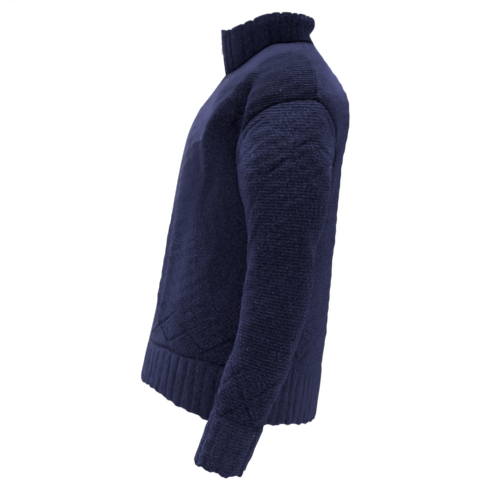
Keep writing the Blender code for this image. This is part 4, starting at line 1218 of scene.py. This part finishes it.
def woolMaterial(name):
    # knit stitches as bumps and tones, from metres along and up the cloth, with fuzz, heather and lint; shade
    # is painted into the colour in the grooves and highlight on raised stitches
    look, bumps, highlightAndTone = woolLook, woolLook["bumps"], woolLook["highlightAndTone"]
    g = Graph(name)
    place = g.place()
    uv = g.node("ShaderNodeUVMap", {"uv_map": "knit"}, {})
    wander = g.noise(place, look["wanderScale"], 1.0)
    across = g.part(uv, 0) + (wander - 0.5) * look["wanderAcross"]
    up = g.part(uv, 1) + (wander - 0.5) * look["wanderUp"]
    # stocking stitch: columns of V, the legs leaning away from the middle of each column
    column = (across / look["stitchWide"]).calc("FRACT")
    lean = (column - 0.5).calc("ABSOLUTE")
    legs = ((up / look["rowTall"] - lean * look["legLean"]) * turnRound).calc("COSINE") * 0.5 + 0.5
    wale = (column * turnRound).calc("SINE").calc("ABSOLUTE").calc("POWER", look["waleRound"])
    stocking = legs * look["legShare"] + wale * look["waleShare"]
    # garter stitch: rows of small arcs
    arcs = ((across / look["stitchWide"]) * turnRound).calc("COSINE")
    rows = ((up / look["garterTall"] + arcs * look["garterArc"]) * turnRound).calc("COSINE") * 0.5 + 0.5
    garterRows = rows * (arcs * look["garterDip"] + (1.0 - look["garterDip"]))
    stitches = g.mixNumber(g.mark("garter"), stocking, garterRows)
    # moss stitch: a checkerboard of bumps
    halfAcross = (across * (math.pi / look["stitchWide"])).calc("COSINE")
    halfUp = (up * (math.pi / look["rowTall"])).calc("COSINE")
    checks = halfAcross * halfUp * 0.5 + 0.5
    stitches = g.mixNumber(g.mark("moss"), stitches, checks)
    fuzz = g.noise(place, look["fuzzScale"], 4.0, 0.7)
    heather = g.noise(place, look["heatherScale"], 3.0)
    height = stitches * bumps["stitches"] + fuzz * bumps["fuzz"] + heather * bumps["heather"]
    normal = g.bump(0.9, bumps["distance"], height)
    lint = g.noise(place, look["lintScale"], 1.0)
    lint = ((lint - look["lintFrom"]) * look["lintSharp"]).clamped()
    relief = g.mark("relief")
    # the lighter colour: painted highlight on raised relief and stitch tops, plus the yarn's own heather and
    # fuzz
    raised = relief * highlightAndTone["relief"] + stitches * highlightAndTone["stitches"] + (heather - 0.5) * highlightAndTone["heather"]
    raised = raised + (fuzz - 0.5) * highlightAndTone["fuzz"] + highlightAndTone["base"]
    # painted shade: where the relief mark is low (grooves, seam dips, rolled edges, the darkened yoke and
    # collar) the colour turns to the deep one
    paintedShade = (relief * look["shadeGain"] - look["shadeStart"]).clamped()
    colour = g.mixColour(raised.clamped(), look["navy"], look["highlightAndHeather"])
    colour = g.mixColour(paintedShade, colour, look["deep"])
    colour = g.mixColour(lint, colour, look["lint"])
    return g.surface(
        {
            "Base Color": colour,
            "Roughness": 0.92,
            "Specular IOR Level": 0.010,
            "Sheen Weight": look["sheen"],
            "Sheen Roughness": look["sheenRough"],
            "Sheen Tint": look["sheenTint"],
            "Normal": normal,
        }
    )


tapeLook = {
    "twill": 0.0011,  # metres between the slanting lines and between the threads
    "weft": 0.0007,
    "twillShare": 0.6,
    "weftShare": 0.4,
    "low": (0.006, 0.0065, 0.012, 1.0),
    "high": (0.016, 0.017, 0.030, 1.0),
}


def tapeMaterial(name):
    # a fine twill on Object coordinates: sines of x + z and of z
    look = tapeLook
    g = Graph(name)
    place = g.place()
    x = g.part(place, 0)
    z = g.part(place, 2)
    twill = ((x + z) * (turnRound / look["twill"])).calc("SINE") * 0.5 + 0.5
    weft = (z * (turnRound / look["weft"])).calc("SINE") * 0.5 + 0.5
    height = twill * look["twillShare"] + weft * look["weftShare"]
    normal = g.bump(0.5, 0.0004, height)
    colour = g.mixColour(height, look["low"], look["high"])
    return g.surface({"Base Color": colour, "Roughness": 0.8, "Sheen Weight": 0.15, "Normal": normal})


metalLook = {"grainScale": 2600.0, "cloudScale": 240.0, "dark": 0.62, "roughMore": 0.22}


def metalMaterial(name, tone, rough):
    # brushed and lightly worn: roughness and tone wander with a fine noise
    look = metalLook
    g = Graph(name)
    place = g.place()
    grain = g.noise(place, look["grainScale"], 3.0)
    cloud = g.noise(place, look["cloudScale"], 2.0)
    dark = tuple(look["dark"] * part for part in tone) + (1.0,)
    colour = g.mixColour((cloud * 1.3 - 0.15).clamped(), dark, tone + (1.0,))
    normal = g.bump(0.18, 0.0002, grain)
    rough = cloud * look["roughMore"] + rough
    return g.surface({"Base Color": colour, "Metallic": 1.0, "Roughness": rough, "Normal": normal})


wool = woolMaterial("navy_wool")
tapeFinish = tapeMaterial("zip_tape_weave")
steel = metalMaterial("zip_steel", (0.60, 0.60, 0.62), 0.20)
darkSteel = metalMaterial("zip_teeth_steel", (0.50, 0.50, 0.53), 0.26)
print("materials ready")


zipSizes = {
    "teethPitch": 0.0031,
    "toothDeep": 0.0021,
    "toothTall": 0.0016,
    "chainHalf": 0.0030,
    "tapeFront": 0.0040,
    "tapeWall": 0.0009,
    "slider": 0.0170,  # height of the slider
    "sliderGap": 0.0060,
    "boxLength": 0.0130,
    "partedHalf": 0.0016,
    "nose": 0.0006,  # a tooth reaches this far past the middle line
    "clear": 0.001,
    "partedOver": 0.010,  # the teeth part over this length above the slider
    "foot": 0.003,
    "bends": 30,
}


def zipLine(x, count=700):
    # the skin's points and outward directions x from the middle line, from the hem to the collar's top
    side = 1.0 if x >= 0 else -1.0
    low = np.linspace(zipSizes["foot"], bodyForm["neckUp"], count)
    high = np.linspace(0.0, 0.97, count // 6)[1:]
    turnLow = side * bodyTurn(abs(x), low)
    turnHigh = side * collarTurn(abs(x), high)
    points = np.concatenate([body(turnLow, low), collar(turnHigh, high)])
    out = np.concatenate([bodyOut(turnLow, low), collarOut(turnHigh, high)])
    for _ in range(zipSizes["bends"]):  # the two skins meet at an angle, which the zip takes in a short curve
        out[1:-1] = unit(out[:-2] + 2 * out[1:-1] + out[2:])
    return points, out


middlePoints, middleOut = zipLine(0.0)
middleOut = unit(middleOut * (0.0, 1.0, 1.0))
zipLengths = arcLengths(middlePoints)
acrossZip = np.array([1.0, 0.0, 0.0])


def stationsAt(lengths):
    # points, outward and upward directions at distances along the zip
    out = unit(between(lengths, zipLengths, middleOut))
    return between(lengths, zipLengths, middlePoints), out, unit(np.cross(acrossZip, out) * -1.0)


def lengthAtHeight(z):
    # distance along the zip at which it is this high
    return float(np.interp(z, middlePoints[:, 2], zipLengths))


toothShape = {
    # share of the tooth from its foot to its nose, width up the zip, and depth
    "stations": (
        (0.00, 0.86, 0.80), (0.34, 1.00, 1.00), (0.54, 0.66, 0.82),
        (0.80, 0.94, 0.88), (1.00, 0.52, 0.48),
    ),
    "sides": 8,
    "square": 3.2,
}


def toothTube():
    # a rounded section carried from the foot to the nose: x along, then up the zip and outwards
    stations = np.array(toothShape["stations"])
    a = (np.arange(toothShape["sides"]) + 0.5) * 2 * np.pi / toothShape["sides"]
    power = 2 / toothShape["square"]
    x = stations[:, :1] * np.ones_like(a)
    up = stations[:, 1:2] * 0.5 * zipSizes["toothTall"] * signedPower(np.cos(a), power)
    deep = stations[:, 2:3] * 0.5 * zipSizes["toothDeep"] * signedPower(np.sin(a), power)
    return np.stack([x, up, deep], axis=-1)


def capped(rings, sides):
    # quads of a tube, and triangle fans over its two ends round the extra end points
    ids = np.arange(rings * sides).reshape(rings, sides)
    closed = np.concatenate([ids, ids[:, :1]], axis=1)
    low = np.full(sides, rings * sides)
    fanLow = np.stack([closed[0, 1:], closed[0, :-1], low], axis=-1)
    fanHigh = np.stack([closed[-1, :-1], closed[-1, 1:], low + 1], axis=-1)
    return cells(closed), np.concatenate([fanLow, fanHigh])


def repeated(name, points, faces, flip):
    # one mesh of many like pieces, with a row of points for each
    steps = np.arange(len(points))[:, None, None] * points.shape[1]
    quads, fans = ((kind[None] + steps).reshape(-1, kind.shape[1]) for kind in faces)
    if flip:
        quads, fans = quads[:, ::-1], fans[:, ::-1]
    return makeMesh(name, points.reshape(-1, 3), quads, fans)


def teeth(name, low, high, sign, shift, spread):
    # one side's teeth: the tube of a tooth placed at each station along the zip
    lengths = np.arange(low + shift, high, zipSizes["teethPitch"])
    at, out, up = (rows[:, None, :] for rows in stationsAt(lengths))
    tube = toothTube()
    ends = np.array([[tube[0, :, 0].mean(), 0.0, 0.0], [tube[-1, :, 0].mean(), 0.0, 0.0]])
    local = np.concatenate([tube.reshape(-1, 3), ends])[None]
    apart = spread(lengths)
    foot = sign * (zipSizes["chainHalf"] + apart)
    nose = sign * (apart - zipSizes["nose"])
    points = at + up * local[..., 1:2] + out * (local[..., 2:3] - tapeMiddle)
    points[..., 0] += foot[:, None] + (nose - foot)[:, None] * local[..., 0]
    return repeated(name, points, capped(*tube.shape[:2]), sign > 0)


def together(lengths):
    # closed teeth: no gap anywhere
    return np.zeros_like(lengths)


def partedBy(lengths):
    # half the gap between the teeth: opens by a smooth step above the slider
    return zipSizes["partedHalf"] * softStep(lengths, sliderAt, sliderAt + zipSizes["partedOver"])


tapeMiddle = zipSizes["tapeFront"] + 0.5 * zipSizes["tapeWall"]
sliderAt = lengthAtHeight(zipSizes["slider"])
zipTop = lengthAtHeight(middlePoints[-1, 2] - zipSizes["clear"])
closedLow = zipSizes["boxLength"] + zipSizes["clear"]
closedHigh = sliderAt - zipSizes["sliderGap"]
partedLow = sliderAt + zipSizes["sliderGap"]
halfPitch = 0.5 * zipSizes["teethPitch"]
closedTeeth = [
    teeth("zip_teeth_left", closedLow, closedHigh, 1.0, 0.0, together),
    teeth("zip_teeth_right", closedLow, closedHigh, -1.0, halfPitch, together),
]
openTeeth = [
    teeth("zip_top_teeth_left", partedLow, zipTop, 1.0, 0.0, partedBy),
    teeth("zip_top_teeth_right", partedLow, zipTop, -1.0, halfPitch, partedBy),
]
print("zip teeth set")


def roundedPlate(name, outline, low, high, origin, up, out):
    # an outline carried through a plate's thickness, drawn in near both faces for a soft edge
    edge = sliderSizes["edge"]
    middle = outline.mean(axis=0)
    away = unit(outline - middle)
    levels = [(low, edge), (low + 0.4 * edge, 0.3 * edge), (low + edge, 0.0)]
    levels += [(high - edge, 0.0), (high - 0.4 * edge, 0.3 * edge), (high, edge)]
    rings = []
    for depth, inset in levels:
        flat = outline - away * inset
        rings.append(origin + acrossZip * flat[:, :1] + up * flat[:, 1:2] + out * depth)
    ends = [origin + acrossZip * middle[0] + up * middle[1] + out * depth for depth in (low, high)]
    return makeMesh(name, np.concatenate([*rings, ends]), *capped(len(rings), len(outline)))


def superOutline(halfWide, halfTall, square, count, narrow=1.0):
    # a superellipse, narrower towards its foot
    a = np.arange(count) * 2 * np.pi / count
    x = signedPower(np.cos(a), 2 / square) * halfWide
    y = signedPower(np.sin(a), 2 / square) * halfTall
    share = (y + halfTall) / (2 * halfTall)
    return np.stack([x * (narrow + (1 - narrow) * share), y], axis=-1)


sliderSizes = {
    "wide": 0.0086,
    "tall": 0.0105,
    "thick": 0.0026,
    "edge": 0.0005,
    "square": 3.4,
    "foot": 0.80,  # width of its foot, as a share of its top's
    "before": 0.0015,  # the plate begins this far before the middle of the tape
    "bridgeLong": 0.0076,
    "bridgeWide": 0.0022,
    "bridgeWall": 0.0010,
    "bridgeRise": 0.0034,
    "bridgeSunk": 0.0006,
    "bridgePower": 0.45,
}
boxSizes = {"halfWide": 0.0030, "square": 5.0, "behind": 0.0012, "before": 0.0021}
atSlider, outSlider, upSlider = (row[0] for row in stationsAt(np.array([sliderAt])))
plateLow = sliderSizes["before"] - tapeMiddle
plateHigh = plateLow + sliderSizes["thick"]


def bridge():
    # a flat strap carried along an arch: x = -half * |cos|^0.45, height = rise * |sin|^0.45, its wall inwards
    size = sliderSizes
    a = np.linspace(0.0, np.pi, 17)
    x = -0.5 * size["bridgeLong"] * signedPower(np.cos(a), size["bridgePower"])
    z = (size["bridgeRise"] + size["bridgeSunk"]) * np.abs(np.sin(a)) ** size["bridgePower"]
    arch = np.stack([x, plateHigh - size["bridgeSunk"] + z], axis=-1)
    inward = unit(np.array([0.0, plateHigh + 0.2 * size["bridgeRise"]]) - arch) * size["bridgeWall"]
    section = np.array(((-1.0, 0.0), (-0.8, -0.15), (0.8, -0.15), (1.0, 0.0), (1.0, 0.85), (-1.0, 0.85)))
    across = np.broadcast_to(0.5 * size["bridgeWide"] * section[:, 0], (len(a), len(section)))
    flat = arch[:, None, :] + inward[:, None, :] * section[None, :, 1:2]
    rings = atSlider + acrossZip * across[..., None] + upSlider * flat[..., :1] + outSlider * flat[..., 1:]
    points = np.concatenate([rings.reshape(-1, 3), rings[[0, -1]].mean(axis=1)])
    return makeMesh("zip_bridge", points, *capped(*rings.shape[:2]))


def loopedPlate(name, outer, inner, origin, out, up):
    # a plate with a hole: a closed section carried round between the hole's outline and the outer one
    way = unit(outer - inner)
    edge, half = pullShape["edge"], 0.5 * pullShape["wall"]
    # which outline a corner of the section is on, its step outwards from it, and its depth
    section = (
        (inner, 0.0, edge - half),
        (inner, edge, -half),
        (outer, -edge, -half),
        (outer, 0.0, edge - half),
        (outer, 0.0, half - edge),
        (outer, -edge, half),
        (inner, edge, half),
        (inner, 0.0, half - edge),
    )
    flat = np.stack([base + way * step for base, step, _ in section], axis=1)
    depth = np.array([row[2] for row in section])[None, :, None]
    rings = origin + acrossZip * flat[..., :1] + up * flat[..., 1:] + out * depth
    ids = np.arange(rings.shape[0] * rings.shape[1]).reshape(rings.shape[:2])
    ids = np.concatenate([ids, ids[:1]], axis=0)
    ids = np.concatenate([ids, ids[:, :1]], axis=1)
    return makeMesh(name, rings.reshape(-1, 3), cells(ids)[:, ::-1])


pullShape = {
    # the right half of the tab's outline: narrow at the eye and wider at the foot
    "corners": (
        (0.0026, 0.0006), (0.0029, 0.0002), (0.0029, -0.0080),
        (0.0033, -0.0110), (0.0033, -0.0180), (0.0018, -0.0200),
    ),
    "eyeHalfWide": 0.0017,
    "eyeHalfTall": 0.0025,
    "eyeSquare": 3.0,
    "eyeCentre": -0.0031,
    "wall": 0.0012,
    "edge": 0.00022,
}


def pullTab():
    # its outline is where rays from the eye's centre meet its straight sides, for all pairs at once
    centre = np.array([0.0, pullShape["eyeCentre"]])
    eye = superOutline(pullShape["eyeHalfWide"], pullShape["eyeHalfTall"], pullShape["eyeSquare"], 72)
    ways = unit(eye)
    corners = np.array(pullShape["corners"])
    corners = np.concatenate([corners, (corners * (-1, 1))[::-1]]) - centre
    sides = np.roll(corners, -1, axis=0) - corners
    det = sides[:, 0] * ways[:, 1:] - sides[:, 1] * ways[:, :1]
    det = np.where(np.abs(det) < 1e-12, 1e-12, det)
    reach = (corners[:, 1] * sides[:, 0] - corners[:, 0] * sides[:, 1]) / det
    share = (ways[:, :1] * corners[:, 1] - ways[:, 1:] * corners[:, 0]) / det
    reach = np.where((reach > 0) & (share > -1e-6) & (share < 1 + 1e-6), reach, np.inf).min(axis=1)
    outer = ways * reach[:, None] + centre
    pivot = atSlider + outSlider * (plateHigh + 0.5 * (sliderSizes["bridgeRise"] - sliderSizes["bridgeWall"]))
    ahead, above = np.array([0.0, -1.0, 0.0]), np.array([0.0, 0.0, 1.0])
    return loopedPlate("zip_pull_tab", outer, eye + centre, pivot, ahead, above)


sliderHalves = (0.5 * sliderSizes["wide"], 0.5 * sliderSizes["tall"])
sliderOutline = superOutline(*sliderHalves, sliderSizes["square"], 40, sliderSizes["foot"])
sliderFrame = (atSlider, upSlider, outSlider)
sliderPlate = roundedPlate("zip_slider_plate", sliderOutline, plateLow, plateHigh, *sliderFrame)
sliderBridge = bridge()
pullPiece = pullTab()
atBox, outBox, upBox = (row[0] for row in stationsAt(np.array([0.5 * zipSizes["boxLength"]])))
boxOutline = superOutline(boxSizes["halfWide"], 0.5 * zipSizes["boxLength"], boxSizes["square"], 32)
boxLow, boxHigh = -tapeMiddle - boxSizes["behind"], -tapeMiddle + boxSizes["before"]
boxPiece = roundedPlate("zip_foot_box", boxOutline, boxLow, boxHigh, atBox, upBox, outBox)
print("slider, pull and foot box made")


# a row of short stitches on each border beside the zip
sewing = {
    "fromMiddle": 0.0112,
    "clear": 0.006,
    "pitch": 0.0052,
    "long": 0.0036,
    "thick": 0.00055,
    "proud": 0.0013,
    "dip": 0.0009,
}


def stitchRow(name, sign):
    # each stitch is a thin tube bent into the cloth at both ends
    points, out = zipLine(sign * sewing["fromMiddle"])
    lengths = arcLengths(points)
    starts = np.arange(sewing["clear"], lengths[-1] - sewing["clear"], sewing["pitch"])
    share = np.linspace(0.0, 1.0, 6)
    at = starts[:, None] + share[None, :] * sewing["long"]
    ways = unit(between(at, lengths, out))
    arch = sewing["proud"] - sewing["dip"] * (2 * share - 1) ** 4
    middle = between(at, lengths, points) + ways * arch[None, :, None]
    a = np.arange(6) * np.pi / 3
    ring = acrossZip * np.cos(a)[:, None] + ways[:, :, None, :] * np.sin(a)[:, None]
    tube = middle[:, :, None, :] + ring * sewing["thick"]
    local = np.concatenate([tube.reshape(len(starts), -1, 3), middle[:, :1], middle[:, -1:]], axis=1)
    return repeated(name, local, capped(6, 6), True)


sewingLeft = stitchRow("sewing_left", 1.0)
sewingRight = stitchRow("sewing_right", -1.0)
print("sewing done")


# piece, finish, slot, the node that it replaces and its body
for piece, finish, slotName, node, bodyName in (
    (frontLeft, wool, "wool", "front_left", "garment"),
    (frontRight, wool, "wool", "front_right", "garment"),
    (knitBack, wool, "wool", "back", "garment"),
    (knitSleeveLeft, wool, "wool", "sleeve_left", "garment"),
    (knitSleeveRight, wool, "wool", "sleeve_right", "garment"),
    (knitCollarPiece, wool, "wool", "collar", "garment"),
    (sewingLeft, tapeFinish, "tape", None, "garment"),
    (sewingRight, tapeFinish, "tape", None, "garment"),
    (closedTeeth[0], darkSteel, "metal", "zip_chain", "garment"),
    (closedTeeth[1], darkSteel, "metal", None, "garment"),
    (openTeeth[0], darkSteel, "metal", "zip_chain_left", "garment"),
    (openTeeth[1], darkSteel, "metal", "zip_chain_right", "garment"),
    (boxPiece, steel, "metal", "zip_bottom_box", "garment"),
    (sliderPlate, steel, "metal", "zip_slider", "garment"),
    (sliderBridge, steel, "metal", None, "garment"),
    (pullPiece, steel, "metal", "zip_pull", "pull"),
):
    piece.data.materials.append(finish)
    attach(piece, bodyName)
    if node:
        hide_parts(node)
tapes = [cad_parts["zip_tape_left"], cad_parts["zip_tape_right"]]
for tape in tapes:
    tape.data.materials.clear()
    tape.data.materials.append(tapeFinish)

print("pieces placed")


shot = {
    "eye": (1.75, -0.05, -0.355),
    "lens": 69.4,
    "floor": -1.45,
    "around": 0.54,  # how strongly the white surroundings light the cloth
}
camera = bpy.data.cameras.new("shot")
camera.lens = shot["lens"]
camera.sensor_width = 36.0
camera.clip_start = 0.01
cameraObject = bpy.data.objects.new("shot", camera)
cameraObject.location = shot["eye"]
cameraObject.rotation_euler = (math.radians(90), 0.0, math.radians(90))
bpy.context.scene.collection.objects.link(cameraObject)
bpy.context.scene.camera = cameraObject

world = bpy.data.worlds.new("studio")
world.use_nodes = True
background = world.node_tree.nodes["Background"]
background.inputs["Color"].default_value = (1.0, 1.0, 1.0, 1.0)
seen = world.node_tree.nodes.new("ShaderNodeLightPath")
strength = world.node_tree.nodes.new("ShaderNodeMix")  # white where it is seen, softer where it lights
strength.inputs[2].default_value = shot["around"]
strength.inputs[3].default_value = 1.0
world.node_tree.links.new(seen.outputs["Is Camera Ray"], strength.inputs[0])
world.node_tree.links.new(strength.outputs[0], background.inputs["Strength"])
bpy.context.scene.world = world
bpy.context.scene.view_settings.view_transform = "Standard"


def floorDisc(name, radius, height):
    # a flat ring of triangles round its middle
    a = np.arange(96) * 2 * np.pi / 96
    points = np.stack([radius * np.cos(a), radius * np.sin(a), np.full(96, height)], axis=-1)
    ids = np.stack([np.arange(96), np.roll(np.arange(96), -1), np.full(96, 96)], axis=-1)
    return makeMesh(name, np.concatenate([points, [[0.0, 0.0, height]]]), [], ids)


floor = floorDisc("floor", 2.3, shot["floor"])
pale = Graph("pale_floor")
floor.data.materials.append(pale.surface({"Base Color": (0.93, 0.93, 0.93, 1.0), "Roughness": 0.8}))


def softLight(name, place, aim, size, power):
    # a round lamp that looks from its place at the aim
    lamp = bpy.data.lights.new(name, "AREA")
    lamp.shape = "DISK"
    lamp.size = size
    lamp.energy = power
    lampObject = bpy.data.objects.new(name, lamp)
    lampObject.location = place
    way = np.array(aim) - np.array(place)
    away = way / np.linalg.norm(way)
    lampObject.rotation_euler = (math.acos(-away[2]), 0.0, math.atan2(-away[0], away[1]))
    bpy.context.scene.collection.objects.link(lampObject)


softLight("over", (-0.1, 0.05, 2.4), (0.0, 0.0, -0.3), 1.2, 235.0)
softLight("rim", (-2.4, -0.75, 0.2), (0.0, 0.0, -0.3), 1.7, 128.0)
softLight("ahead", (0.5, -1.8, 1.9), (0.0, 0.0, -0.3), 1.2, 5.0)
print("studio ready")
